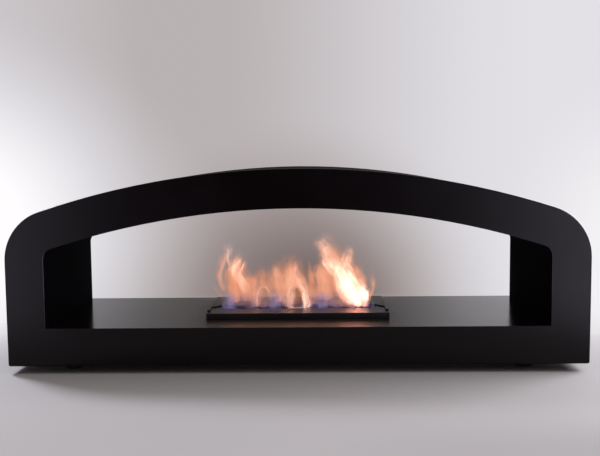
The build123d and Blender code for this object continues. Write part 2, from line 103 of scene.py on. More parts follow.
# %% Helpers for node trees
def fill(tree, node, inputs):
    for name, value in inputs.items():
        if isinstance(value, bpy.types.NodeSocket):
            tree.links.new(value, node.inputs[name])
        else:
            node.inputs[name].default_value = value


def put(tree, kind, inputs=None, **settings):
    made = tree.nodes.new(kind)
    for name, value in settings.items():
        setattr(made, name, value)
    fill(tree, made, inputs or {})
    return made


def calc(tree, operation, *values):
    """One Math node. Its inputs all have the same name, so they are filled by number."""
    return put(tree, "ShaderNodeMath", dict(enumerate(values)), operation=operation).outputs[0]


def plus(tree, first, *others):
    for other in others:
        first = calc(tree, "ADD", first, other)
    return first


def times(tree, first, *others):
    for other in others:
        first = calc(tree, "MULTIPLY", first, other)
    return first


def spread(tree, value, low, high, to_low=0.0, to_high=1.0, kind="LINEAR"):
    """A value taken from one range to another, and held inside it."""
    inputs = {"Value": value, "From Min": low, "From Max": high,
              "To Min": to_low, "To Max": to_high}
    return put(tree, "ShaderNodeMapRange", inputs, interpolation_type=kind).outputs["Result"]


def ease(tree, value, low, high, to_low=0.0, to_high=1.0):
    """The same, but with a soft start and end."""
    return spread(tree, value, low, high, to_low, to_high, "SMOOTHSTEP")


def calc_vector(tree, operation, *values):
    made = put(tree, "ShaderNodeVectorMath", dict(enumerate(values)), operation=operation)
    return made.outputs[0]


def scaled(tree, value, by):
    inputs = {0: value, "Scale": by}
    return put(tree, "ShaderNodeVectorMath", inputs, operation="SCALE").outputs[0]


def split(tree, at):
    return put(tree, "ShaderNodeSeparateXYZ", {"Vector": at}).outputs


def joined(tree, x, y, z):
    return put(tree, "ShaderNodeCombineXYZ", {"X": x, "Y": y, "Z": z}).outputs["Vector"]


print("node helpers ready")

# %% [markdown]
# A mesh is made from points and faces that a formula gives. Most forms here are rings of points
# one above the other, so one function closes any stack of rings.

# %% Helpers for meshes
def add_object(name, data):
    piece = bpy.data.objects.new(name, data)
    bpy.context.scene.collection.objects.link(piece)
    return piece


def shape(name, points, faces, edges=()):
    """A mesh piece at the origin, with its place in its mesh."""
    mesh = bpy.data.meshes.new(name)
    mesh.from_pydata(points, edges, faces)
    mesh.update()
    return add_object(name, mesh)


def rings_to_faces(rings, around):
    """Quads between rings of points, with a fan to a single point where a ring has only one."""
    faces, start = [], 0
    for here, there in zip(rings, rings[1:]):
        following = start + len(here)
        for i in range(around):
            j = (i + 1) % around
            if len(here) == 1:
                faces.append((start, following + j, following + i))
            elif len(there) == 1:
                faces.append((start + i, start + j, following))
            else:
                faces.append((start + i, start + j, following + j, following + i))
        start = following
    return faces


def turned(name, rings, around):
    points = [point for ring in rings for point in ring]
    return shape(name, points, rings_to_faces(rings, around))


def smooth(piece, sharp_above=None):
    """Smooth shading, with edges sharper than an angle left crisp."""
    for face in piece.data.polygons:
        face.use_smooth = True
    if sharp_above is not None:
        piece.data.set_sharp_from_angle(angle=radians(sharp_above))


print("mesh helpers ready")

# %% [markdown]
# ## Painted steel
#
# The bridge is powder coated. The powder melts into a satin skin that is never quite flat: it
# has a faint orange peel about a millimetre across, and its gloss drifts a little from place to
# place. A picture of paint would show its edges where it repeats, so the peel and the drift are
# noise in the piece's own coordinates. The colour is nearly black, because a dark gloss surface
# shows its surroundings more than itself. The front and the back are the smoothest, and the
# skins round the outside and inside the opening are duller.

# %% Helpers for finishes
def coordinates(tree, stretch=(1.0, 1.0, 1.0)):
    at = put(tree, "ShaderNodeTexCoord").outputs["Object"]
    return put(tree, "ShaderNodeMapping", {"Vector": at, "Scale": stretch}).outputs["Vector"]


def noise(tree, at, scale, detail=2.0, roughness=0.5):
    inputs = {"Vector": at, "Scale": scale, "Detail": detail, "Roughness": roughness}
    return put(tree, "ShaderNodeTexNoise", inputs).outputs["Fac"]


def relief(tree, height, strength, distance):
    inputs = {"Height": height, "Strength": strength, "Distance": distance}
    return put(tree, "ShaderNodeBump", inputs).outputs["Normal"]


def blend(tree, share, one, other, how="MIX"):
    """Two colours, each a socket or three numbers. A Mix node has inputs of several kinds under
    the same names, so the ones for colours are found by their type."""
    made = put(tree, "ShaderNodeMix", {"Factor": share}, data_type="RGBA", blend_type=how)
    places = [i for i, socket in enumerate(made.inputs) if socket.type == "RGBA"]
    colours = [c if isinstance(c, bpy.types.NodeSocket) else (*c, 1.0) for c in (one, other)]
    fill(tree, made, dict(zip(places, colours)))
    return next(socket for socket in made.outputs if socket.type == "RGBA")


def ramp(tree, value, *stops):
    """Colours along a value, each stop with its position, from the lowest to the highest."""
    made = put(tree, "ShaderNodeValToRGB", {"Fac": value})
    elements = made.color_ramp.elements
    elements[0].position, elements[1].position = stops[0][0], stops[-1][0]
    for position, _ in stops[1:-1]:
        elements.new(position)
    for element, (_, colour) in zip(elements, stops):
        element.color = (*colour, 1.0)
    return made.outputs["Color"]


def new_finish(name):
    material = bpy.data.materials.new(name)
    material.use_nodes = True
    tree = material.node_tree
    return material, tree, tree.nodes["Principled BSDF"]


print("finish helpers ready")

# %% Painted steel
def satin_coat(name, dark, light, gloss, peel, peel_scale, shine):
    """gloss is the roughness where the skin is smoothest and where it is dullest."""
    material, tree, paint = new_finish(name)
    at = coordinates(tree)
    drift = noise(tree, at, 7.0, 3.0)
    fill(tree, paint, {
        "Base Color": blend(tree, spread(tree, drift, 0.3, 0.7), dark, light),
        "Roughness": spread(tree, drift, 0.25, 0.75, *gloss),
        "Specular IOR Level": shine,
        "Normal": relief(tree, noise(tree, at, peel_scale, 1.5), peel, 0.0004)})
    return material


casing_coat = satin_coat("casing_coat", (0.0028, 0.0010, 0.0014), (0.0038, 0.0018, 0.0022),
                         (0.21, 0.26), 0.03, 900.0, 0.16)
skin_coat = satin_coat("skin_coat", (0.0034, 0.0026, 0.0030), (0.0050, 0.0040, 0.0044),
                       (0.66, 0.76), 0.08, 1300.0, 0.028)
inner_coat = satin_coat("inner_coat", (0.0022, 0.0020, 0.0034), (0.0030, 0.0028, 0.0044),
                        (0.74, 0.84), 0.10, 1300.0, 0.004)
burner_coat = satin_coat("burner_coat", (0.0020, 0.0008, 0.0007), (0.0036, 0.0018, 0.0015),
                         (0.25, 0.33), 0.05, 1500.0, 0.50)
print("painted steel:", casing_coat.name, skin_coat.name, inner_coat.name, burner_coat.name)

# %% [markdown]
# ## The hearth's enamel
#
# The hearth is smoother than the powder coat and mirrors the inner walls with a clear edge.
# Round the burner the heat has dulled it. A warm tint is painted there as well: a painted glow
# that stands in for the flames' light on the hearth. The mask is the distance from the middle in
# the panel's own coordinates, so the dulled and tinted part stays with the panel.

# %% Hearth enamel
# Where the dulling and the painted glow round the burner are whole, and where they end.
DULL_AND_GLOW_WHOLE = 0.19
DULL_AND_GLOW_END = 0.28


def dulled_enamel_with_painted_glow(name):
    material, tree, enamel = new_finish(name)
    at = coordinates(tree)
    drift = noise(tree, at, 7.0, 3.0)
    away = plus(tree, calc(tree, "ABSOLUTE", split(tree, at)["X"]),
                spread(tree, drift, 0.3, 0.7, -0.02, 0.02))
    dull_and_painted_glow = ease(tree, away, DULL_AND_GLOW_END, DULL_AND_GLOW_WHOLE)
    clean = blend(tree, spread(tree, drift, 0.3, 0.7), (0.0030, 0.0026, 0.0030),
                  (0.0050, 0.0046, 0.0050))
    fill(tree, enamel, {
        # The warm colour is a painted glow of the flames. The rougher enamel below is the
        # dulling.
        "Base Color": blend(tree, dull_and_painted_glow, clean, (0.080, 0.062, 0.055)),
        "Roughness": plus(tree, spread(tree, dull_and_painted_glow, 0.0, 1.0, 0.13, 0.38),
                          spread(tree, drift, 0.25, 0.75, 0.0, 0.04)),
        "Specular IOR Level": 0.40,
        "Normal": relief(tree, noise(tree, at, 600.0, 1.5), 0.02, 0.0004)})
    return material


hearth_enamel = dulled_enamel_with_painted_glow("hearth_enamel")
print("hearth:", hearth_enamel.name)

# %% [markdown]
# ## The lid's coat
#
# The lid lies beside the flames and is pushed over them while it is hot. Its black coat has gone
# duller and browner along the edge nearest the slot, and it carries fine scratches along its
# travel from rubbing in the rails. Both are masks in the piece's own coordinates: one grows
# towards the slot, and the other is noise that is stretched along the travel.

# %% Lid coat
def heat_worn_coat(name):
    material, tree, paint = new_finish(name)
    at = coordinates(tree)
    drift = noise(tree, at, 60.0, 4.0, 0.6)
    burnt = times(tree, ease(tree, split(tree, at)["Y"], 0.020, -0.018),
                  spread(tree, drift, 0.35, 0.65))
    scratches = noise(tree, coordinates(tree, (1.0, 0.03, 1.0)), 1800.0, 2.0)
    fill(tree, paint, {
        "Base Color": blend(tree, burnt, (0.0060, 0.0058, 0.0062), (0.016, 0.010, 0.007)),
        "Roughness": plus(tree, spread(tree, burnt, 0.0, 1.0, 0.30, 0.46),
                          spread(tree, scratches, 0.62, 0.72, 0.0, 0.12)),
        "Normal": relief(tree, scratches, 0.06, 0.0002)})
    return material


lid_coat = heat_worn_coat("lid_coat")
print("lid coat:", lid_coat.name)

# %% [markdown]
# ## Bare metals
#
# The tank is stainless steel, brushed along its length, and the fire has tinted its rim straw
# and blue. The frame inside the casing is plain zinc-plated tube, and the feet's stems and the
# fasteners are bright zinc. A brushed metal is made of long parallel scratches, so its
# roughness and bump come from noise squeezed across the brushing. Zinc shows cloudy grains.

# %% Bare metals
def brushed_steel(name, colour, tint_from, tint_to):
    """The tint grows between two heights."""
    material, tree, metal = new_finish(name)
    at = coordinates(tree)
    lines = noise(tree, coordinates(tree, (0.02, 1.0, 1.0)), 2600.0, 3.0, 0.6)
    plain = blend(tree, spread(tree, lines, 0.3, 0.7), [0.86 * c for c in colour], colour)
    waver = spread(tree, noise(tree, at, 30.0, 3.0), 0.3, 0.7, -0.006, 0.006)
    tint = ramp(tree, spread(tree, plus(tree, split(tree, at)["Z"], waver), tint_from, tint_to),
                (0.0, (1.0, 1.0, 1.0)), (0.55, (1.0, 0.80, 0.50)), (1.0, (0.50, 0.55, 0.80)))
    fill(tree, metal, {
        "Metallic": 1.0,
        "Base Color": blend(tree, 1.0, plain, tint, "MULTIPLY"),
        "Roughness": spread(tree, lines, 0.2, 0.8, 0.28, 0.42),
        "Normal": relief(tree, lines, 0.10, 0.0001)})
    return material


def zinc_plate(name, dark, light, gloss):
    material, tree, metal = new_finish(name)
    at = coordinates(tree)
    grains = put(tree, "ShaderNodeTexVoronoi", {"Vector": at, "Scale": 260.0})
    cloud = plus(tree, spread(tree, grains.outputs["Distance"], 0.0, 0.8, 0.0, 0.5),
                 spread(tree, noise(tree, at, 40.0, 3.0), 0.3, 0.7, 0.0, 0.5))
    fill(tree, metal, {
        "Metallic": 1.0,
        "Base Color": blend(tree, cloud, dark, light),
        "Roughness": spread(tree, cloud, 0.0, 1.0, *gloss),
        "Normal": relief(tree, cloud, 0.08, 0.0002)})
    return material


tank_steel = brushed_steel("tank_steel", (0.56, 0.54, 0.52), 0.070, 0.118)
frame_zinc = zinc_plate("frame_zinc", (0.38, 0.39, 0.40), (0.50, 0.51, 0.52), (0.38, 0.52))
bright_zinc = zinc_plate("bright_zinc", (0.52, 0.53, 0.55), (0.66, 0.67, 0.69), (0.22, 0.34))
print("bare metals:", tank_steel.name, frame_zinc.name, bright_zinc.name)

# %% [markdown]
# ## Matt finishes
#
# The feet stand on moulded rubber, the board under the safety tray is pressed mineral fibre, and
# the wool in the tank is white ceramic fibre. None of them shines. What tells them apart is
# grain: rubber has a fine even stipple, the board short mixed flecks, and wool long strands
# that run every way, which are three noises stretched along three directions.

# %% Matt finishes
def matt(name, dark, light, roughness, grain, depth):
    material, tree, body = new_finish(name)
    flecks = noise(tree, coordinates(tree), grain, 4.0, 0.65)
    fill(tree, body, {
        "Base Color": blend(tree, spread(tree, flecks, 0.3, 0.7), dark, light),
        "Roughness": spread(tree, flecks, 0.2, 0.8, roughness, roughness + 0.15),
        "Specular IOR Level": 0.25,
        "Normal": relief(tree, flecks, 0.4, depth)})
    return material


def ceramic_fibre(name):
    material, tree, body = new_finish(name)
    along_x, along_y, along_z = [
        noise(tree, coordinates(tree, stretch), 1500.0, 3.0)
        for stretch in ((0.06, 1.0, 1.0), (1.0, 0.06, 1.0), (0.5, 0.5, 0.05))]
    strands = calc(tree, "MAXIMUM", calc(tree, "MAXIMUM", along_x, along_y), along_z)
    fill(tree, body, {
        "Base Color": blend(tree, spread(tree, strands, 0.45, 0.75), (0.62, 0.59, 0.54),
                            (0.86, 0.84, 0.80)),
        "Roughness": 0.95,
        "Specular IOR Level": 0.2,
        "Normal": relief(tree, strands, 0.7, 0.0006)})
    return material


foot_rubber = matt("foot_rubber", (0.010, 0.010, 0.010), (0.016, 0.016, 0.016), 0.65,
                   2200.0, 0.0002)
fibre_board = matt("fibre_board", (0.50, 0.46, 0.38), (0.66, 0.62, 0.54), 0.80, 500.0, 0.0005)
wool_fibre = ceramic_fibre("wool_fibre")
print("matt finishes:", foot_rubber.name, fibre_board.name, wool_fibre.name)

# %% [markdown]
# ## Dress the CAD pieces
#
# The solids already have the right shapes, so they only change their material slots. The names
# say which piece gets which finish. Whatever the table leaves out belongs to the feet.

# %% Dress the CAD pieces
FINISHES = {
    casing_coat: ["front_face_panel", "rear_face_panel", "base_plate"],
    skin_coat: ["left_side_skin", "right_side_skin", "top_arch_skin"],
    inner_coat: ["left_inner_wall", "right_inner_wall", "arch_soffit"],
    hearth_enamel: ["hearth_panel"],
    burner_coat: ["burner_deck", "slot_collar", "left_guide_rail", "right_guide_rail"],
    lid_coat: ["sliding_lid", "lid_tab"],
    tank_steel: ["fuel_box", "wool_retainer"],
    wool_fibre: ["ceramic_wool"],
    fibre_board: ["insulation_board"],
    frame_zinc: ["front_base_rail", "rear_base_rail", "base_cross_members", "hearth_supports",
                 "arch_spacers", "left_column_brace", "right_column_brace", "burner_well"],
    bright_zinc: ["foot_nuts", "foot_lock_nuts", "base_plate_screws"],
}
finish_of = {node: material for material, nodes in FINISHES.items() for node in nodes}
for name, piece in frame["nodes"].items():
    foot_finish = foot_rubber if name.startswith("foot_pad") else bright_zinc
    for material_slot in piece.material_slots:
        material_slot.material = finish_of.get(name, foot_finish)
print("dressed", len(frame["nodes"]), "CAD pieces in", len(FINISHES) + 1, "finishes")

# %% [markdown]
# ## Geometry Nodes, built in a script
#
# What repeats on the object is made by a tree of geometry nodes: the screws under the base, the
# lock nuts, the fibres, the small blue flames and the veils of the large ones. Each tree has
# named inputs for its sizes. A modifier keeps its inputs under the sockets' identifiers, so the
# helper looks each name up. The finished mesh is then taken from the evaluated object, because
# a plain mesh is what rides with a body.

# %% Helpers for geometry trees
def new_growth(name, inputs):
    """A geometry tree, and the sockets of its named inputs."""
    tree = bpy.data.node_groups.new(name, "GeometryNodeTree")
    for way in ("INPUT", "OUTPUT"):
        tree.interface.new_socket("Geometry", in_out=way, socket_type="NodeSocketGeometry")
    for label, kind in inputs.items():
        tree.interface.new_socket(label, in_out="INPUT", socket_type="NodeSocket" + kind)
    return tree, put(tree, "NodeGroupInput").outputs


def random_vector(tree, seed, low, high):
    """Another vector for each copy, and the same ones each time for the same seed."""
    inputs = {"Min": low, "Max": high, "Seed": seed}
    made = put(tree, "FunctionNodeRandomValue", inputs, data_type="FLOAT_VECTOR")
    return made.outputs["Value"]


def finish_growth(tree, given, geometry):
    """Every tree ends the same way: instances made real, then the finish."""
    real = put(tree, "GeometryNodeRealizeInstances", {"Geometry": geometry})
    dressed = put(tree, "GeometryNodeSetMaterial",
                  {"Geometry": real.outputs["Geometry"], "Material": given["Finish"]})
    put(tree, "NodeGroupOutput", {"Geometry": dressed.outputs["Geometry"]})


def grow(piece, tree, **values):
    """Runs a tree on a piece and keeps the result as the piece's plain mesh."""
    modifier = piece.modifiers.new(tree.name, "NODES")
    modifier.node_group = tree
    identifiers = {item.name: item.identifier for item in tree.interface.items_tree
                   if item.in_out == "INPUT"}
    for label, value in values.items():
        modifier[identifiers[label.replace("_", " ")]] = value
    bpy.context.view_layer.update()
    seen = piece.evaluated_get(bpy.context.evaluated_depsgraph_get())
    mesh = bpy.data.meshes.new_from_object(seen)
    piece.modifiers.remove(modifier)
    start = piece.data
    piece.data = mesh
    bpy.data.meshes.remove(start)
    mesh.name = piece.name
    print(piece.name, "has", len(mesh.vertices), "points and", len(mesh.polygons), "faces")


print("growth helpers ready")

# %% [markdown]
# ## Screws under the base
#
# Ten pan-head screws hold the base plate to the rails. They stand on an even grid, so one screw
# is modelled and the tree repeats it. The head is turned from a profile of rings with its rim
# rounded, and the drive is a hexagon let into it: a ring of points is moved from a circle to
# the six sides without changing its count, so the faces stay regular.

# %% Screws
AROUND = 24
SCREW_HEAD_RADIUS = 0.004
SCREW_HEAD_HEIGHT = 0.002
SCREW_SHANK_RADIUS = 0.002
SCREW_POINT = 0.0006
DRIVE_FLATS = 0.0025
DRIVE_DEPTH = 0.0014


def circle_ring(radius, z):
    return [Vector((radius * cos(2 * pi * i / AROUND), radius * sin(2 * pi * i / AROUND), z))
            for i in range(AROUND)]


def hexagon_ring(across_flats, z):
    """A ring on a hexagon's sides. Each point is as far out as the nearest side allows."""
    ring = []
    for i in range(AROUND):
        angle = 2 * pi * i / AROUND
        off_flat = (angle + pi / 6) % (pi / 3) - pi / 6
        reach = across_flats / 2 / cos(off_flat)
        ring.append(Vector((reach * cos(angle), reach * sin(angle), z)))
    return ring


head_face, screw_end = screws_low.z, screws_high.z
screw_seat = head_face + SCREW_HEAD_HEIGHT
screw_rings = [
    [Vector((0, 0, head_face + DRIVE_DEPTH))],
    hexagon_ring(DRIVE_FLATS, head_face + DRIVE_DEPTH),
    hexagon_ring(DRIVE_FLATS, head_face + 0.0001),
    hexagon_ring(DRIVE_FLATS + 0.0003, head_face),
    circle_ring(0.0026, head_face),
    circle_ring(0.0034, head_face + 0.0003),
    circle_ring(SCREW_HEAD_RADIUS - 0.0001, head_face + 0.0010),
    circle_ring(SCREW_HEAD_RADIUS, screw_seat - 0.0002),
    circle_ring(SCREW_HEAD_RADIUS, screw_seat),
    circle_ring(SCREW_SHANK_RADIUS, screw_seat),
    circle_ring(SCREW_SHANK_RADIUS, screw_end - SCREW_POINT),
    circle_ring(SCREW_SHANK_RADIUS - SCREW_POINT, screw_end),
    [Vector((0, 0, screw_end))],
]
print("one screw has", sum(len(ring) for ring in screw_rings), "points")

# %% [markdown]
# The tree lays a grid of points as wide and deep as the outermost fasteners, and puts a copy of
# the incoming shape on each point.

# %% Repeat a fastener on a grid
def fastener_grid_tree():
    tree, given = new_growth("fastener_grid", {
        "Length": "Float", "Depth": "Float", "Columns": "Int", "Rows": "Int",
        "Finish": "Material"})
    places = put(tree, "GeometryNodeMeshGrid", {
        "Size X": given["Length"], "Size Y": given["Depth"],
        "Vertices X": given["Columns"], "Vertices Y": given["Rows"]})
    copies = put(tree, "GeometryNodeInstanceOnPoints", {
        "Points": places.outputs["Mesh"], "Instance": given["Geometry"]})
    finish_growth(tree, given, copies.outputs["Instances"])
    return tree


fastener_grid = fastener_grid_tree()


def repeat_on_grid(piece, low, high, half, columns, rows):
    """half is the piece's own reach, so that the outermost copies end where the CAD ones do."""
    grow(piece, fastener_grid, Length=high.x - low.x - 2 * half[0],
         Depth=high.y - low.y - 2 * half[1], Columns=columns, Rows=rows, Finish=bright_zinc)


screws = turned("base_screws_detailed", screw_rings, AROUND)
repeat_on_grid(screws, screws_low, screws_high, (SCREW_HEAD_RADIUS, SCREW_HEAD_RADIUS), 5, 2)
smooth(screws, 40)
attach(screws, "casing")
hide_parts("base_plate_screws")

# %% [markdown]
# ## Lock nuts
#
# Each foot has a lock nut under the base plate. A real nut has its corners turned down by a
# chamfer on both faces, and its bore opens with a small countersink. The same grid tree repeats
# it over the four feet. The bore's first and last ring are the same, so they are welded.

# %% Lock nuts
NUT_FLATS = 0.017
NUT_BORE = 0.0053
NUT_COUNTERSINK = 0.0006
NUT_CHAMFER = 0.0007
NUT_FACE = NUT_FLATS / 2 - 0.0002
NUT_CORNER = NUT_FLATS / 2 / cos(pi / 6)
nut_rings = [
    circle_ring(NUT_BORE, nuts_low.z + NUT_COUNTERSINK),
    circle_ring(NUT_BORE + NUT_COUNTERSINK, nuts_low.z),
    circle_ring(NUT_FACE, nuts_low.z),
    hexagon_ring(NUT_FLATS, nuts_low.z + NUT_CHAMFER),
    hexagon_ring(NUT_FLATS, nuts_high.z - NUT_CHAMFER),
    circle_ring(NUT_FACE, nuts_high.z),
    circle_ring(NUT_BORE + NUT_COUNTERSINK, nuts_high.z),
    circle_ring(NUT_BORE, nuts_high.z - NUT_COUNTERSINK),
    circle_ring(NUT_BORE, nuts_low.z + NUT_COUNTERSINK),
]
lock_nuts = turned("lock_nuts_detailed", nut_rings, AROUND)
repeat_on_grid(lock_nuts, nuts_low, nuts_high, (NUT_CORNER, NUT_FLATS / 2), 2, 2)
weld = bmesh.new()
weld.from_mesh(lock_nuts.data)
bmesh.ops.remove_doubles(weld, verts=weld.verts, dist=1e-6)
weld.to_mesh(lock_nuts.data)
weld.free()
smooth(lock_nuts, 30)
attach(lock_nuts, "casing")
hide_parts("foot_lock_nuts")

# %% [markdown]
# ## Threaded stems
#
# A foot screws up into the base on a ten-millimetre stem. The thread is a real form here, not a
# bump: the radius of the stem follows a sawtooth that climbs one pitch for each turn, so one
# formula gives every point, and both ends are tapered. The stems belong to four bodies, so each
# is a piece of its own.

# %% Threaded stems
THREAD_PITCH = 0.0015
THREAD_DEPTH = 0.0006
THREAD_TAPER = 0.001
STEPS_PER_PITCH = 6
THREAD_AROUND = 20


def threaded_stem(name, low, high):
    centre = (low + high) / 2
    radius = (high.x - low.x) / 2
    rings = [[Vector((centre.x, centre.y, low.z))]]
    levels = int((high.z - low.z) / THREAD_PITCH * STEPS_PER_PITCH)
    for level in range(levels + 1):
        z = low.z + (high.z - low.z) * level / levels
        taper = THREAD_TAPER - min(z - low.z, high.z - z)
        ring = []
        for i in range(THREAD_AROUND):
            turn = (z / THREAD_PITCH - i / THREAD_AROUND) % 1.0
            groove = THREAD_DEPTH * abs(2 * turn - 1)
            reach = radius - max(groove, taper)
            angle = 2 * pi * i / THREAD_AROUND
            ring.append(Vector((centre.x + reach * cos(angle),
                                centre.y + reach * sin(angle), z)))
        rings.append(ring)
    rings.append([Vector((centre.x, centre.y, high.z))])
    return turned(name, rings, THREAD_AROUND)


for corner in ("front_left", "front_right", "rear_left", "rear_right"):
    stem = threaded_stem("threaded_stem_" + corner, *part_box("foot_stem_" + corner))
    stem.data.materials.append(bright_zinc)
    smooth(stem, 50)
    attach(stem, "foot_" + corner)
    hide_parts("foot_stem_" + corner)
print("threaded stems: 4, each with", len(stem.data.vertices), "points")

# %% [markdown]
# ## Ceramic wool
#
# The tank isn't filled with loose liquid: a pad of ceramic wool soaks it up. The pad is cut from
# a blanket a little too large and pressed in, so its corners are soft and its faces quilt
# slightly. It starts as a finely divided block in the space that the CAD solid holds, and its
# points are moved inwards by a rounding at the edges and by a slow noise, so it never leaves
# that space.

# %% The pad's body
def pad_body(name, low, high, cuts=(96, 46, 8), rounding=0.006, quilt=0.0016):
    """A block with rounded edges and uneven faces. Every point moves inwards only."""
    body = bmesh.new()
    bmesh.ops.create_cube(body, size=1.0)
    for axis, count in enumerate(cuts):
        edges = [e for e in body.edges
                 if abs((e.verts[0].co - e.verts[1].co)[axis]) > 1e-6]
        bmesh.ops.subdivide_edges(body, edges=edges, cuts=count - 1, use_grid_fill=True)
    half = (high - low) / 2
    centre = (high + low) / 2
    for point in body.verts:
        at = Vector([2 * point.co[i] * half[i] for i in range(3)])
        inner = Vector([max(-half[i] + rounding, min(half[i] - rounding, at[i]))
                        for i in range(3)])
        out = at - inner
        if out.length > rounding:
            at = inner + out.normalized() * rounding
        depth = quilt * (0.5 + 0.5 * lumps.noise(at * 60.0))
        depth += quilt * 0.4 * (0.5 + 0.5 * lumps.noise(at * 300.0))
        at -= out.normalized() * depth if out.length > 1e-9 else Vector()
        point.co = centre + at
    mesh = bpy.data.meshes.new(name)
    body.to_mesh(mesh)
    body.free()
    return add_object(name, mesh)


wool = pad_body("wool_pad", wool_low, wool_high)
print("wool body:", len(wool.data.vertices), "points")

# %% [markdown]
# Loose fibres lie on the pad's faces. A tree scatters points with a fixed seed and lays a short
# bent strand on each, turned at random in the face's plane. A strand is only a few faces, since
# there are hundreds. A fibre that would poke out of the pad's space is pressed back into it.

# %% Fibres on the pad
def fibre_tree():
    tree, given = new_growth("loose_fibres", {
        "Density": "Float", "Fibre Length": "Float", "Fibre Radius": "Float",
        "Seed": "Int", "Finish": "Material"})
    scattered = put(tree, "GeometryNodeDistributePointsOnFaces", {
        "Mesh": given["Geometry"], "Density": given["Density"], "Seed": given["Seed"]})
    strand = put(tree, "GeometryNodeCurveArc", {
        "Resolution": 5, "Radius": given["Fibre Length"], "Start Angle": 0.0,
        "Sweep Angle": radians(60)})
    section = put(tree, "GeometryNodeCurvePrimitiveCircle", {
        "Resolution": 3, "Radius": given["Fibre Radius"]})
    tube = put(tree, "GeometryNodeCurveToMesh", {
        "Curve": strand.outputs["Curve"], "Profile Curve": section.outputs["Curve"],
        "Fill Caps": True})
    turn = random_vector(tree, given["Seed"], (-0.05, -0.05, 0.0), (0.05, 0.05, 2 * pi))
    spin = put(tree, "FunctionNodeRotateRotation", {
        "Rotation": scattered.outputs["Rotation"], "Rotate By": turn},
        rotation_space="LOCAL")
    laid = put(tree, "GeometryNodeInstanceOnPoints", {
        "Points": scattered.outputs["Points"], "Instance": tube.outputs["Mesh"],
        "Rotation": spin.outputs["Rotation"]})
    both = put(tree, "GeometryNodeJoinGeometry")
    tree.links.new(given["Geometry"], both.inputs["Geometry"])
    tree.links.new(laid.outputs["Instances"], both.inputs["Geometry"])
    finish_growth(tree, given, both.outputs["Geometry"])
    return tree


grow(wool, fibre_tree(), Density=7000.0, Fibre_Length=0.005, Fibre_Radius=0.00007, Seed=4,
     Finish=wool_fibre)
for point in wool.data.vertices:
    point.co = [max(wool_low[i], min(wool_high[i], point.co[i])) for i in range(3)]
smooth(wool)
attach(wool, "burner")
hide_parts("ceramic_wool")

# %% [markdown]
# ## Flames
#
# Ethanol burns with a nearly clear blue base, and turns orange where it is starved of air. A
# flame has no surface: it is brightest where most of the burning gas is in line, and it fades
# to nothing at its edges. A volume shows that well but costs time and doesn't export, so each
# tongue is a set of nested see-through veils, like the skins of an onion. Where the veils are
# seen one behind the other, in the middle, the flame is dense, and at the rim only the thin
# outer veil is left, from any side.
#
# A tongue is a path in the plane of the slot with a width at each of its points. The path is
# smoothed, and a ring is set square to it at each step. The path runs from the foot to the tip:
# x, z and half the width there, in millimetres. Warmth goes from blue at 0 over pink at 0.1 and
# orange at 0.3 to a cream core at 1, and far below 0 it is a dim smoky brown. Body says how
# much the veils hide. The last number is a small step to the front or the back.

# %% Lay out the tongues
FLAME_FOOT = round(DECK_TOP - 0.006, 4)  # a little down in the slot
FLAME_CEILING = 0.3065  # leaves room under the arch when the burner is lifted out
MM = 0.001

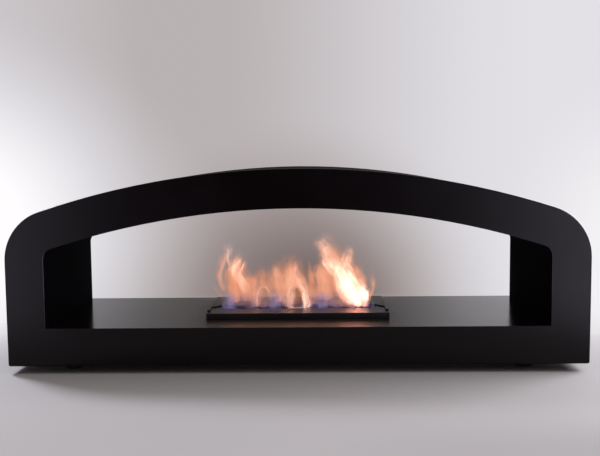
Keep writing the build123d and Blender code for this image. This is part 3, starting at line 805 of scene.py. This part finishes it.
STEADY = [
    # wide and faint: the haze that joins the flames
    ([(-148, 124, 38), (-148, 165, 42), (-148, 210, 36), (-146, 240, 24), (-142, 276, 0)],
     0.26, 0.26, 0),
    ([(-88, 120, 42), (-88, 160, 44), (-86, 200, 36), (-84, 236, 0)], 0.27, 0.42, 0),
    ([(-22, 120, 54), (-22, 165, 56), (-20, 205, 46), (-14, 240, 28), (-8, 268, 0)],
     0.28, 0.34, 0),
    ([(100, 118, 64), (100, 170, 64), (96, 215, 52), (90, 255, 36), (82, 296, 0)],
     0.28, 0.40, 0),
    # the ragged left edge of the fire, and the loop to the right of the left flame
    ([(-178, 164, 7), (-186, 190, 10), (-188, 212, 10), (-182, 238, 10), (-175, 260, 8),
      (-170, 278, 0)], 0.40, 0.30, -3),
    ([(-180, 140, 5), (-194, 166, 6), (-204, 182, 5), (-209, 196, 0)], 0.42, 0.12, -4),
    ([(-98, 122, 10), (-100, 150, 9), (-94, 172, 9), (-82, 182, 8), (-72, 173, 8),
      (-66, 152, 8), (-64, 120, 0)], 0.56, 0.40, -2),
    # the two legs of the middle flame, which meet over a dark eye, the bright rim below the
    # eye, and last the eye itself, which is dim smoke
    ([(-23, 117, 10), (-27, 143, 14), (-25, 166, 16), (-18, 188, 16), (-12, 208, 13),
      (-8, 224, 8), (-6, 242, 0)], 0.58, 1.05, 0),
    ([(25, 117, 9), (24, 141, 12), (18, 160, 13), (8, 178, 15), (-1, 197, 13), (-7, 213, 9),
      (-11, 232, 0)], 0.58, 1.05, 1),
    ([(-22, 124, 5), (-10, 119, 6), (4, 118, 6), (18, 121, 5), (26, 130, 0)], 0.52, 1.40, -6),
    ([(2, 128, 5), (2, 140, 9), (1, 154, 9), (-1, 168, 7), (-3, 186, 0)], -2.00, 0.85, -1),
    # the cream core of the right flame, and the small flames at its right foot
    ([(144, 119, 8), (144, 132, 18), (136, 146, 26), (128, 162, 29), (120, 178, 27),
      (114, 194, 23), (106, 210, 19), (96, 224, 15), (87, 238, 9), (82, 250, 0)],
     1.00, 1.50, 0),
    ([(157, 121, 10), (161, 142, 12), (160, 162, 9), (155, 184, 0)], 0.88, 1.10, -2),
    ([(172, 146, 5), (178, 172, 9), (178, 194, 8), (175, 218, 0)], 0.40, 0.30, -3),
    # the blue and pink feet
    ([(-163, 116, 17), (-164, 134, 19), (-163, 150, 14), (-160, 170, 0)], -0.10, 0.90, -5),
    ([(-118, 118, 24), (-116, 138, 26), (-114, 158, 18), (-112, 178, 0)], 0.16, 0.40, -5),
    ([(-57, 116, 16), (-57, 134, 18), (-55, 150, 14), (-52, 168, 0)], -0.10, 0.85, -5),
    ([(58, 116, 24), (59, 134, 27), (61, 152, 20), (63, 172, 0)], -0.06, 0.75, -6),
    ([(64, 122, 24), (64, 144, 27), (62, 166, 22), (58, 190, 12), (56, 206, 0)],
     0.19, 0.40, 3),
]
RESTLESS = [
    # left flame, with its bright ridge
    ([(-149, 134, 14), (-150, 152, 25), (-151, 172, 28), (-152, 192, 26), (-152, 212, 22),
      (-150, 230, 16), (-145, 244, 10), (-140, 260, 0)], 0.33, 0.80, 0),
    ([(-128, 156, 7), (-133, 178, 12), (-145, 196, 14), (-153, 212, 13), (-149, 229, 11),
      (-142, 245, 8), (-137, 262, 0)], 0.68, 1.35, 3),
    # between the left and the middle
    ([(-112, 120, 9), (-110, 150, 11), (-107, 178, 9), (-105, 200, 7), (-103, 214, 0)],
     0.40, 0.46, 2),
    ([(-124, 134, 15), (-121, 165, 18), (-120, 196, 13), (-122, 224, 0)], 0.31, 0.46, 4),
    # the middle flame's peach column, its head and its right side
    ([(-44, 134, 12), (-49, 160, 16), (-51, 190, 16), (-53, 214, 13), (-56, 230, 8),
      (-60, 246, 0)], 0.45, 0.66, -2),
    ([(-10, 168, 6), (-11, 182, 26), (-14, 199, 25), (-14, 214, 18), (-10, 228, 9),
      (-7, 246, 0)], 0.48, 0.85, 2),
    ([(32, 128, 14), (34, 160, 16), (33, 190, 12), (30, 216, 8), (27, 242, 0)],
     0.33, 0.50, -3),
    # right flames: a peach body with three tips, around the core
    ([(68, 138, 22), (66, 160, 26), (62, 186, 26), (60, 208, 23), (62, 228, 18),
      (62, 250, 0)], 0.44, 0.76, 0),
    ([(132, 117, 33), (132, 136, 38), (126, 160, 38), (114, 188, 38), (98, 212, 36),
      (88, 232, 28), (80, 250, 14), (76, 266, 0)], 0.50, 0.72, 0),
    ([(80, 206, 20), (79, 228, 24), (76, 248, 24), (70, 268, 22), (63, 286, 17),
      (56, 300, 0)], 0.50, 0.70, 2),
    ([(110, 206, 17), (113, 228, 18), (117, 246, 15), (121, 262, 10), (127, 280, 0)],
     0.56, 1.00, -2),
    ([(146, 160, 14), (149, 182, 14), (147, 202, 12), (143, 220, 8), (140, 238, 0)],
     0.45, 0.80, 2),
]
ADDED = [
    # the bright inner feet of the middle flame's legs
    ([(-15, 116, 6), (-17, 128, 9), (-17, 140, 10), (-15, 154, 9), (-10, 170, 0)],
     0.60, 1.30, -3),
    ([(15, 116, 6), (17, 128, 8), (17, 140, 9), (15, 154, 8), (10, 168, 0)], 0.66, 1.40, -3),
    # the bright head beside the core, and the pale tops of the right and the left flame
    ([(92, 204, 12), (86, 217, 18), (78, 229, 19), (69, 241, 15), (61, 252, 0)], 0.70, 0.62, 0),
    ([(74, 236, 14), (70, 256, 21), (65, 275, 24), (58, 289, 24), (52, 297, 17),
      (49, 301, 0)], 0.58, 0.26, 1),
    ([(-166, 240, 9), (-168, 254, 13), (-168, 268, 13), (-166, 280, 9), (-164, 292, 0)],
     0.66, 0.13, 0),
]
TONGUES = STEADY + RESTLESS + ADDED
print("tongues:", len(TONGUES))

# %% [markdown]
# A picture of a fire catches a moment, not an instant, and the restless flames move in it. Each
# of them therefore has two faint neighbours: the same path, leaned, stretched and moved aside a
# little by random numbers with a fixed seed. They take the hard edge off the flames.

# %% Let the flames flicker
FAINT_BODY = 0.34
FAINT_TOP = 302  # no neighbour reaches higher, in millimetres


def flicker(tongues, seed=5):
    chance = Random(seed)
    faint = []
    for path, warmth, body, y in tongues:
        foot = path[0][1]
        for side in (-1, 1):
            aside = side * chance.uniform(4.0, 11.0)
            lean = chance.uniform(-0.07, 0.07)
            stretch = chance.uniform(0.88, 1.12)
            moved = [(x + aside + lean * (z - foot),
                      min(foot + (z - foot) * stretch, FAINT_TOP), 0.95 * half)
                     for x, z, half in path]
            faint.append((moved, warmth - 0.04, FAINT_BODY * body, y + 3 * side))
    return faint


NEIGHBOURS = flicker(RESTLESS)
print("faint neighbours:", len(NEIGHBOURS))

# %% [markdown]
# A tongue's depth follows its width, but it has to pass the slot. The slot's walls are 16 mm to
# the front and the back of its middle, and the flames stay 3.5 mm clear of them. From a little
# above the lid, the room grows with the height. Lengths here are in millimetres, like the paths.

# %% Loft the tongues
FLAME_STEPS = 20
FLAME_AROUND = 16
ROOM_IN_SLOT = 12.5
WIDENS_FROM = 126.0  # 6 mm above the deck, and 3 mm above the lid
ROOM_PER_HEIGHT = 0.42
DEPTH_PER_WIDTH = 0.65
WIDEST_DEPTH = 26.0
FOOT_SHARE = 0.05  # the share of the path in which the foot opens to its full width


def along(path, t):
    """A point of a smooth line through the path's points, for t from 0 to 1."""
    place = t * (len(path) - 1)
    i = min(int(place), len(path) - 2)
    f = place - i
    before, here, there, after = (path[max(min(k, len(path) - 1), 0)]
                                  for k in (i - 1, i, i + 1, i + 2))
    return [0.5 * (2 * b + (c - a) * f + (2 * a - 5 * b + 4 * c - d) * f * f
                   + (3 * b - a - 3 * c + d) * f ** 3)
            for a, b, c, d in zip(before, here, there, after)]


def tongue_rings(path, y):
    """Rings of (point, centre, rise), closed at the foot and the tip."""
    rings = []
    for step in range(FLAME_STEPS + 1):
        t = step / FLAME_STEPS
        x, z, half = along(path, t)
        x0, z0, _ = along(path, max(t - 0.02, 0.0))
        x1, z1, _ = along(path, min(t + 0.02, 1.0))
        length = hypot(x1 - x0, z1 - z0)
        across = Vector(((z1 - z0) / length, 0, -(x1 - x0) / length))
        half = max(half, 0.0) * sqrt(min(1.0, t / FOOT_SHARE))
        room = ROOM_IN_SLOT - abs(y) + max(0.0, z - WIDENS_FROM) * ROOM_PER_HEIGHT
        deep = min(DEPTH_PER_WIDTH * half, room, WIDEST_DEPTH)
        centre = Vector((x, 0, z))
        if step in (0, FLAME_STEPS):
            ring = [centre]
        else:
            ring = [centre + across * half * cos(2 * pi * i / FLAME_AROUND)
                    + Vector((0, deep * sin(2 * pi * i / FLAME_AROUND), 0))
                    for i in range(FLAME_AROUND)]
        shift = Vector((0, SLOT_Y + y * MM, 0))
        rings.append([(p * MM + shift, centre * MM + shift, t) for p in ring])
    return rings


def flame_skins(name, tongues):
    """One skin for each tongue. Every point carries what the veils and the finish need."""
    points, faces, marks = [], [], []
    for number, (path, warmth, body, y) in enumerate(tongues):
        rings = tongue_rings(path, y)
        start = len(points)
        faces += [tuple(start + i for i in face)
                  for face in rings_to_faces(rings, FLAME_AROUND)]
        for ring in rings:
            for point, centre, rise in ring:
                points.append(point)
                marks.append((centre, rise, warmth, body, float(number)))
    skins = shape(name, points, faces)
    for label, column in zip(("axis", "rise", "warmth", "body", "tongue"), zip(*marks)):
        kind, field = ("FLOAT_VECTOR", "vector") if label == "axis" else ("FLOAT", "value")
        made = skins.data.attributes.new(label, kind, "POINT")
        for mark, value in zip(made.data, column):
            setattr(mark, field, value)
    print(name, "skins:", len(points), "points")
    return skins


flames = flame_skins("flames", TONGUES)
flame_edges = flame_skins("flame_edges", NEIGHBOURS)

# %% [markdown]
# The tree copies the skins once for each veil, and marks each copy from 0, the outermost, to 1.
# A veil draws in towards the tongue's own centre line, which every point carries with it, and
# ends lower than the one outside it. Noise then ripples the veils, each in its own way and more
# towards the tips.

# %% Nest the veils
def veil_tree():
    tree, given = new_growth("flame_veils", {
        "Veils": "Int", "Skirt Size": "Float", "Core Size": "Float",
        "Core Height": "Float", "Ripple": "Float",
        "Ripple Scale": "Float", "Seed": "Int", "Finish": "Material"})
    one = put(tree, "GeometryNodeGeometryToInstance", {"Geometry": given["Geometry"]})
    copies = put(tree, "GeometryNodeDuplicateElements", {
        "Geometry": one.outputs["Instances"], "Amount": given["Veils"]}, domain="INSTANCE")
    last = calc(tree, "SUBTRACT", given["Veils"], 1.0)
    depth = calc(tree, "DIVIDE", copies.outputs["Duplicate Index"], last)
    marked = put(tree, "GeometryNodeStoreNamedAttribute", {
        "Geometry": copies.outputs["Geometry"], "Name": "veil", "Value": depth},
        data_type="FLOAT", domain="INSTANCE")
    real = put(tree, "GeometryNodeRealizeInstances", {"Geometry": marked.outputs["Geometry"]})

    def carried(label, kind="FLOAT"):
        return put(tree, "GeometryNodeInputNamedAttribute", {"Name": label},
                   data_type=kind).outputs["Attribute"]

    at = put(tree, "GeometryNodeInputPosition").outputs["Position"]
    axis = carried("axis", "FLOAT_VECTOR")
    veil, rise = carried("veil"), carried("rise")
    size = spread(tree, veil, 0.0, 1.0, given["Skirt Size"], given["Core Size"])
    drawn = scaled(tree, calc_vector(tree, "SUBTRACT", at, axis), size)
    inner = split(tree, calc_vector(tree, "ADD", axis, drawn))
    tall = spread(tree, veil, 0.0, 1.0, 1.0, given["Core Height"])
    above = calc(tree, "SUBTRACT", inner["Z"], FLAME_FOOT)
    height = plus(tree, times(tree, above, tall), FLAME_FOOT)
    which = plus(tree, times(tree, veil, 0.8), given["Seed"])
    wave = put(tree, "ShaderNodeTexNoise", {
        "Vector": calc_vector(tree, "MULTIPLY", at, (1.0, 1.0, 0.45)), "W": which,
        "Scale": given["Ripple Scale"], "Detail": 3.0}, noise_dimensions="4D")
    centred = calc_vector(tree, "SUBTRACT", wave.outputs["Color"], (0.5, 0.5, 0.5))
    strength = times(tree, given["Ripple"], calc(tree, "POWER", rise, 0.7))
    moved = put(tree, "GeometryNodeSetPosition", {
        "Geometry": real.outputs["Geometry"],
        "Position": joined(tree, inner["X"], inner["Y"], height),
        "Offset": scaled(tree, centred, strength)})
    finish_growth(tree, given, moved.outputs["Geometry"])
    return tree


nested_veils = veil_tree()
print("veil tree:", nested_veils.name)

# %% [markdown]
# The veils' material glows and lets the rest through. How much it hides grows from the outer
# veil to the core, fades at the tip and at the clear blue foot, and is broken into upright
# streaks by a noise squeezed along the height. Its colour climbs from orange to cream with heat
# and towards the core. Flames cast no shadow, so the pieces are hidden from shadow rays.

# %% Flame finish
def carried_mark(tree, label, as_what="Fac"):
    return put(tree, "ShaderNodeAttribute", attribute_name=label).outputs[as_what]


def glowing_finish(name):
    """A material with an empty tree, because a flame has no surface that reflects."""
    material, tree, _ = new_finish(name)
    tree.nodes.clear()
    return material, tree


def glow(tree, colour, strength, hide):
    """The surface glows and hides only a share of what is behind it."""
    light = put(tree, "ShaderNodeEmission", {"Color": colour, "Strength": strength})
    clear = put(tree, "ShaderNodeBsdfTransparent")
    made = put(tree, "ShaderNodeMixShader", {0: hide, 1: clear.outputs[0],
                                             2: light.outputs[0]})
    put(tree, "ShaderNodeOutputMaterial", {"Surface": made.outputs["Shader"]})


def flame_finish(name):
    material, tree = glowing_finish(name)
    veil, rise, warmth, body = [carried_mark(tree, label)
                                for label in ("veil", "rise", "warmth", "body")]
    at = put(tree, "ShaderNodeTexCoord").outputs["Object"]
    height = split(tree, at)["Z"]

    # Streaks follow the tongue: they are read across it from its own centre line.
    across = calc_vector(tree, "SUBTRACT", at, carried_mark(tree, "axis", "Vector"))
    own = joined(tree, times(tree, carried_mark(tree, "tongue"), 0.37), 0.0,
                 times(tree, height, 0.20))
    streaks = noise(tree, calc_vector(tree, "ADD", across, own), 110.0, 3.0, 0.6)
    licks = noise(tree, at, 42.0, 2.0, 0.5)

    hot = plus(tree, warmth, spread(tree, veil, 0.0, 1.0, -0.08, 0.10),
               spread(tree, streaks, 0.3, 0.7, -0.12, 0.12),
               spread(tree, height, 0.17, 0.27, 0.0, 0.07))
    heat = ramp(tree, hot, (0.02, (0.22, 0.22, 0.50)), (0.12, (0.55, 0.29, 0.34)),
                (0.22, (0.72, 0.27, 0.15)), (0.36, (0.88, 0.32, 0.16)),
                (0.52, (1.0, 0.44, 0.27)), (0.72, (1.0, 0.58, 0.43)),
                (1.0, (1.0, 0.36, 0.26)))
    cool = times(tree, ease(tree, height, 0.168, 0.130),
                 spread(tree, warmth, 0.9, 0.3, 0.0, 0.45))
    foot = blend(tree, cool, heat, (0.30, 0.19, 0.30))
    colour = blend(tree, spread(tree, warmth, -0.5, -1.5), foot, (0.34, 0.14, 0.07))

    broken = times(tree, ease(tree, rise, 1.0, 0.55),
                   ease(tree, height, 0.116, 0.160, 0.36, 1.0),
                   spread(tree, streaks, 0.36, 0.64, 0.10, 1.70),
                   spread(tree, licks, 0.35, 0.65, 0.35, 1.50))
    dense = times(tree, body, spread(tree, veil, 0.0, 1.0, 0.015, 0.24))
    hide = calc(tree, "MINIMUM", times(tree, broken, dense), 0.9)
    glow(tree, colour, ease(tree, hot, 0.68, 1.0, 1.0, 6.8), hide)
    return material


flame_veil = flame_finish("flame_veil")
grow(flames, nested_veils, Veils=8, Skirt_Size=1.28, Core_Size=0.20,
     Core_Height=0.86, Ripple=0.030, Ripple_Scale=40.0, Seed=7, Finish=flame_veil)
grow(flame_edges, nested_veils, Veils=4, Skirt_Size=1.15, Core_Size=0.35,
     Core_Height=0.90, Ripple=0.034, Ripple_Scale=36.0, Seed=23, Finish=flame_veil)
for fire in (flames, flame_edges):
    for point in fire.data.vertices:
        point.co.z = min(point.co.z, FLAME_CEILING)
    smooth(fire)

# %% [markdown]
# ## The blue rim of the fire
#
# Just inside the edge of the slot the gas burns clean, in small blue flames of one kind. They
# repeat, so a tree makes them: a drop drawn from a sphere, copied at even steps along an outline
# 6 mm inside the slot's, each with its own height and lean from a fixed seed.

# %% Blue flames along the slot
RIM_SET_IN = 0.012  # from the ends of the collar's flange, so 6 mm from the slot's ends
RIM_HALF_LENGTH = (collar_high.x - collar_low.x) / 2 - RIM_SET_IN
RIM_HALF_DEPTH = 0.010


def blue_finish(name):
    material, tree = glowing_finish(name)
    rise = carried_mark(tree, "rise")
    colour = ramp(tree, rise, (0.0, (0.20, 0.20, 0.55)), (1.0, (0.50, 0.32, 0.42)))
    streaks = noise(tree, coordinates(tree, (1.0, 1.0, 0.4)), 60.0, 2.0)
    hide = times(tree, ease(tree, rise, 1.0, 0.3, 0.0, 0.06),
                 spread(tree, streaks, 0.42, 0.60, 0.10, 1.0))
    glow(tree, colour, 1.0, hide)
    return material


def blue_rim_tree():
    tree, given = new_growth("blue_rim", {
        "Count": "Int", "Flame Height": "Float", "Flame Radius": "Float", "Seed": "Int",
        "Finish": "Material"})
    ball = put(tree, "GeometryNodeMeshUVSphere", {"Segments": 8, "Rings": 6, "Radius": 1.0})
    at = split(tree, put(tree, "GeometryNodeInputPosition").outputs["Position"])
    rise = spread(tree, at["Z"], -1.0, 1.0)
    wide = times(tree, spread(tree, rise, 0.1, 1.0, 1.0, 0.15), given["Flame Radius"])
    drop = joined(tree, times(tree, at["X"], wide), times(tree, at["Y"], wide),
                  times(tree, rise, given["Flame Height"]))
    marked = put(tree, "GeometryNodeStoreNamedAttribute", {
        "Geometry": ball.outputs["Mesh"], "Name": "rise", "Value": rise},
        data_type="FLOAT", domain="POINT")
    drawn = put(tree, "GeometryNodeSetPosition", {
        "Geometry": marked.outputs["Geometry"], "Position": drop})
    line = put(tree, "GeometryNodeMeshToCurve", {"Mesh": given["Geometry"]})
    even = put(tree, "GeometryNodeResampleCurve", {
        "Curve": line.outputs["Curve"], "Count": given["Count"]})
    copies = put(tree, "GeometryNodeInstanceOnPoints", {
        "Points": even.outputs["Curve"], "Instance": drawn.outputs["Geometry"],
        "Rotation": random_vector(tree, given["Seed"], (-0.2, -0.15, 0.0), (0.2, 0.15, 6.2)),
        "Scale": random_vector(tree, given["Seed"], (0.7, 0.7, 0.55), (1.3, 1.3, 1.35))})
    finish_growth(tree, given, copies.outputs["Instances"])
    return tree


outline = [(-RIM_HALF_LENGTH, -RIM_HALF_DEPTH), (RIM_HALF_LENGTH, -RIM_HALF_DEPTH),
           (RIM_HALF_LENGTH, RIM_HALF_DEPTH), (-RIM_HALF_LENGTH, RIM_HALF_DEPTH)]
blue_rim = shape("blue_rim", [(x, SLOT_Y + y, FLAME_FOOT) for x, y in outline], [],
                 [(0, 1), (1, 2), (2, 3), (3, 0)])
grow(blue_rim, blue_rim_tree(), Count=110, Flame_Height=0.030, Flame_Radius=0.0065, Seed=11,
     Finish=blue_finish("blue_flame"))
smooth(blue_rim)

# %% [markdown]
# The lid puts the fire out by closing the slot. Fire can't slide with it. Here the flames and
# the blue rim only ride with the burner. They are not made to flatten as the lid goes forward.

# %% Join the flames to the mechanism
for fire in (flames, flame_edges, blue_rim):
    fire.visible_shadow = False
    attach(fire, "burner")
    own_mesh(fire)

# %% [markdown]
# ## Floor
#
# The floor is a pale matt sheet. Its colour is painted a little darker towards its front, and
# more so to the right: a painted shade. It has to fade into the background without a line, so
# its own coordinates make it see-through towards its rim. It is a disc that is drawn out towards
# the front. Only the camera sees the drawn-out part: the casing mirrors the room there.

# %% Floor
FLOOR_RADIUS = 1.20
FLOOR_FADE = 0.72
FLOOR_CENTRE_Y = -0.22
FLOOR_FRONT_STRETCH = 1.7
FLOOR_SIDES = 96


def distance(tree, one, other):
    return calc(tree, "SQRT", plus(tree, times(tree, one, one), times(tree, other, other)))


def floor_finish():
    material, tree, sheet = new_finish("pale_floor")
    at = put(tree, "ShaderNodeTexCoord").outputs["Object"]
    grain = noise(tree, at, 3.0, 4.0)
    parts = split(tree, at)
    # Painted shade: the floor's colour darkens towards the front, and more so to the right.
    drop = times(tree, ease(tree, parts["Y"], -0.42, -0.70),
                 spread(tree, parts["X"], 0.0, 0.5, 0.07, 0.21))
    pale = blend(tree, grain, (0.520, 0.505, 0.505), (0.545, 0.530, 0.530))
    fill(tree, sheet, {
        "Base Color": scaled(tree, pale, calc(tree, "SUBTRACT", 1.0, drop)),
        "Roughness": 0.75,
        "Specular IOR Level": 0.2})
    behind = calc(tree, "SUBTRACT", parts["Y"], FLOOR_CENTRE_Y)
    camera_ray = put(tree, "ShaderNodeLightPath").outputs["Is Camera Ray"]
    shorter = spread(tree, camera_ray, 0.0, 1.0, 1.0, 1.0 / FLOOR_FRONT_STRETCH)
    behind = calc(tree, "MAXIMUM", behind, times(tree, behind, shorter))
    fade = ease(tree, distance(tree, parts["X"], behind), FLOOR_FADE, FLOOR_RADIUS - 0.02)
    clear = put(tree, "ShaderNodeBsdfTransparent")
    both = put(tree, "ShaderNodeMixShader", {0: fade, 1: sheet.outputs["BSDF"],
                                             2: clear.outputs[0]})
    tree.links.new(both.outputs["Shader"], tree.nodes["Material Output"].inputs["Surface"])
    return material


ring = []
for i in range(FLOOR_SIDES):
    turn = 2 * pi * i / FLOOR_SIDES
    x, y = FLOOR_RADIUS * cos(turn), FLOOR_RADIUS * sin(turn)
    y *= FLOOR_FRONT_STRETCH if y < 0 else 1.0
    ring.append(Vector((x, y + FLOOR_CENTRE_Y, 0)))
floor = shape("floor", ring, [tuple(range(FLOOR_SIDES))])
floor.data.materials.append(floor_finish())
print("floor radius", FLOOR_RADIUS, "m")

# %% [markdown]
# ## Surroundings and light
#
# A black satin object is lit by what it mirrors. The front mirrors the room behind the camera,
# which is dark in the middle with pale areas to the left and right, and the hearth mirrors the
# pale wall behind. The world's colour is worked out from the direction alone. The camera sees
# its own version, a pale wall with painted light and shade: painted glows at its edges and a
# painted shadow, a soft grey area, low in its middle.

# %% Surroundings
def blob(tree, x, z, centre, reach):
    """1 at the centre of a soft oval of directions, and 0 from its rim outwards."""
    off_x, off_z = [calc(tree, "DIVIDE", calc(tree, "SUBTRACT", value, middle), size)
                    for value, middle, size in zip((x, z), centre, reach)]
    return ease(tree, distance(tree, off_x, off_z), 1.0, 0.0)


def surroundings():
    world = bpy.data.worlds.new("surroundings")
    bpy.context.scene.world = world
    world.use_nodes = True
    tree = world.node_tree
    tree.nodes.clear()
    way = split(tree, put(tree, "ShaderNodeTexCoord").outputs["Generated"])
    x, y, z = way["X"], way["Y"], way["Z"]
    camera_ray = put(tree, "ShaderNodeLightPath").outputs["Is Camera Ray"]

    # The pale wall ahead, with light and shade painted on it: brighter to the right, painted
    # glows at both edges, and a painted shadow low in the middle. The wall is near, so the
    # hearth mirrors a lower part of it than its direction says, and for mirrored rays the
    # pattern is moved up.
    ahead = ease(tree, y, 0.0, 0.5)
    height = calc(tree, "SUBTRACT", z, spread(tree, camera_ray, 0.0, 1.0, 0.27, 0.0))
    level = plus(tree, ease(tree, x, -0.14, 0.27, 0.465, 0.775),
                 spread(tree, x, -0.20, -0.36, 0.0, 0.13))
    painted_glows = plus(tree,
                 times(tree, blob(tree, x, height, (-0.42, -0.08), (0.32, 0.26)), 0.52),
                 times(tree, blob(tree, x, height, (0.40, -0.12), (0.20, 0.24)), 0.20))
    # Painted shadow on the wall, low in its middle.
    painted_shadow = times(tree, blob(tree, x, height, (-0.005, -0.20), (0.25, 0.26)),
                ease(tree, height, -0.245, -0.166, 0.0, 0.85))
    level = times(tree, plus(tree, level, painted_glows), calc(tree, "SUBTRACT", 1.0, painted_shadow))
    level = plus(tree, times(tree, level, ahead), spread(tree, ahead, 1.0, 0.0, 0.0, 0.52))
    wall = ramp(tree, level, (0.10, (0.145, 0.105, 0.100)), (0.30, (0.325, 0.275, 0.270)),
                (0.47, (0.490, 0.450, 0.452)), (0.72, (0.715, 0.695, 0.735)),
                (1.0, (1.0, 0.985, 1.0)))

    # Seen in the hearth, the wall falls off behind the fire and upwards.
    share = plus(tree, ease(tree, x, 0.08, 0.22, 0.54, 0.92),
                 ease(tree, x, -0.17, -0.30, 0.0, 0.22))
    share = times(tree, share, spread(tree, z, 0.10, 0.30, 1.15, 0.70), ahead)

    # What else the black surfaces mirror: a dark room behind the camera, pale panels to both
    # sides of it, a window to the right and a soft ceiling.
    panels = plus(tree, ease(tree, x, 0.16, 0.40, 0.0, 4.8),
                  ease(tree, x, -0.25, -0.48, 0.0, 4.6))
    panels = times(tree, panels, ease(tree, y, -0.78, -0.90), ease(tree, z, 0.20, 0.05))
    window = times(tree, ease(tree, x, 0.20, 0.70, 0.0, 0.50),
                   times(tree, ease(tree, z, 0.02, 0.15), ease(tree, z, 0.80, 0.50)))
    above = plus(tree, window, ease(tree, z, 0.30, 0.90, 0.01, 0.50))
    room = calc_vector(tree, "ADD", scaled(tree, (1.0, 0.92, 1.14), panels),
                       scaled(tree, (1.0, 0.93, 0.90), above))
    mirrored = calc_vector(tree, "ADD", room, scaled(tree, wall, share))
    light = put(tree, "ShaderNodeBackground", {
        "Color": blend(tree, camera_ray, mirrored, wall), "Strength": 1.0})
    put(tree, "ShaderNodeOutputWorld", {"Surface": light.outputs[0]})


surroundings()


def soft_lamp(name, stand, aim, size, watts, colour):
    data = bpy.data.lights.new(name, "AREA")
    data.shape, data.size, data.size_y, data.energy = "RECTANGLE", *size, watts
    data.color = colour
    lamp = add_object(name, data)
    lamp.location = stand
    lamp.rotation_euler = (Vector(aim) - Vector(stand)).to_track_quat("-Z", "Y").to_euler()


soft_lamp("key", (-1.44, 0.46, 1.50), (-0.5, -0.5, 0.0), (0.35, 0.35), 22.0,
          (0.97, 0.985, 1.10))
soft_lamp("window", (1.80, 0.10, 1.00), (0.5, -0.3, 0.0), (1.2, 0.9), 28.5,
          (1.00, 0.99, 1.06))
print("lamps: a key from the left and a wide window light from the right")

# %% [markdown]
# ## Camera
#
# The camera stands two metres in front, a little above the arch, and looks slightly down and to
# the left. Its place and turn come from fitting the outlines of the front, the opening and the
# hearth to the photograph.

# %% Camera
CAMERA_PLACE = Vector((0.0418, -2.0176, 0.4826))
CAMERA_YAW = radians(1.036)
CAMERA_PITCH = radians(4.93)
CAMERA_ROLL = radians(-0.551)
FOCAL_PIXELS = 828.6
PICTURE_WIDTH = 600
SENSOR = 36.0


def aim_camera():
    forward = Vector((-sin(CAMERA_YAW) * cos(CAMERA_PITCH),
                      cos(CAMERA_YAW) * cos(CAMERA_PITCH), -sin(CAMERA_PITCH)))
    level_right = forward.cross(Vector((0, 0, 1))).normalized()
    level_up = level_right.cross(forward)
    right = level_right * cos(CAMERA_ROLL) + level_up * sin(CAMERA_ROLL)
    up = level_up * cos(CAMERA_ROLL) - level_right * sin(CAMERA_ROLL)
    turn = Matrix((right, up, -forward)).transposed()
    data = bpy.data.cameras.new("camera")
    data.sensor_width = SENSOR
    data.lens = FOCAL_PIXELS / PICTURE_WIDTH * SENSOR
    camera = add_object("camera", data)
    camera.matrix_world = Matrix.Translation(CAMERA_PLACE) @ turn.to_4x4()
    bpy.context.scene.camera = camera
    return camera


camera = aim_camera()
scene = bpy.context.scene
scene.view_settings.view_transform = "Standard"
scene.cycles.transparent_max_bounces = 96
print("lens", round(camera.data.lens, 2), "mm")

# %% [markdown]
# ## Sizes, and the end
#
# The picture must not change what the CAD model measures. This cell only brings the scene up to
# date.

# %% Sizes
bpy.context.view_layer.update()
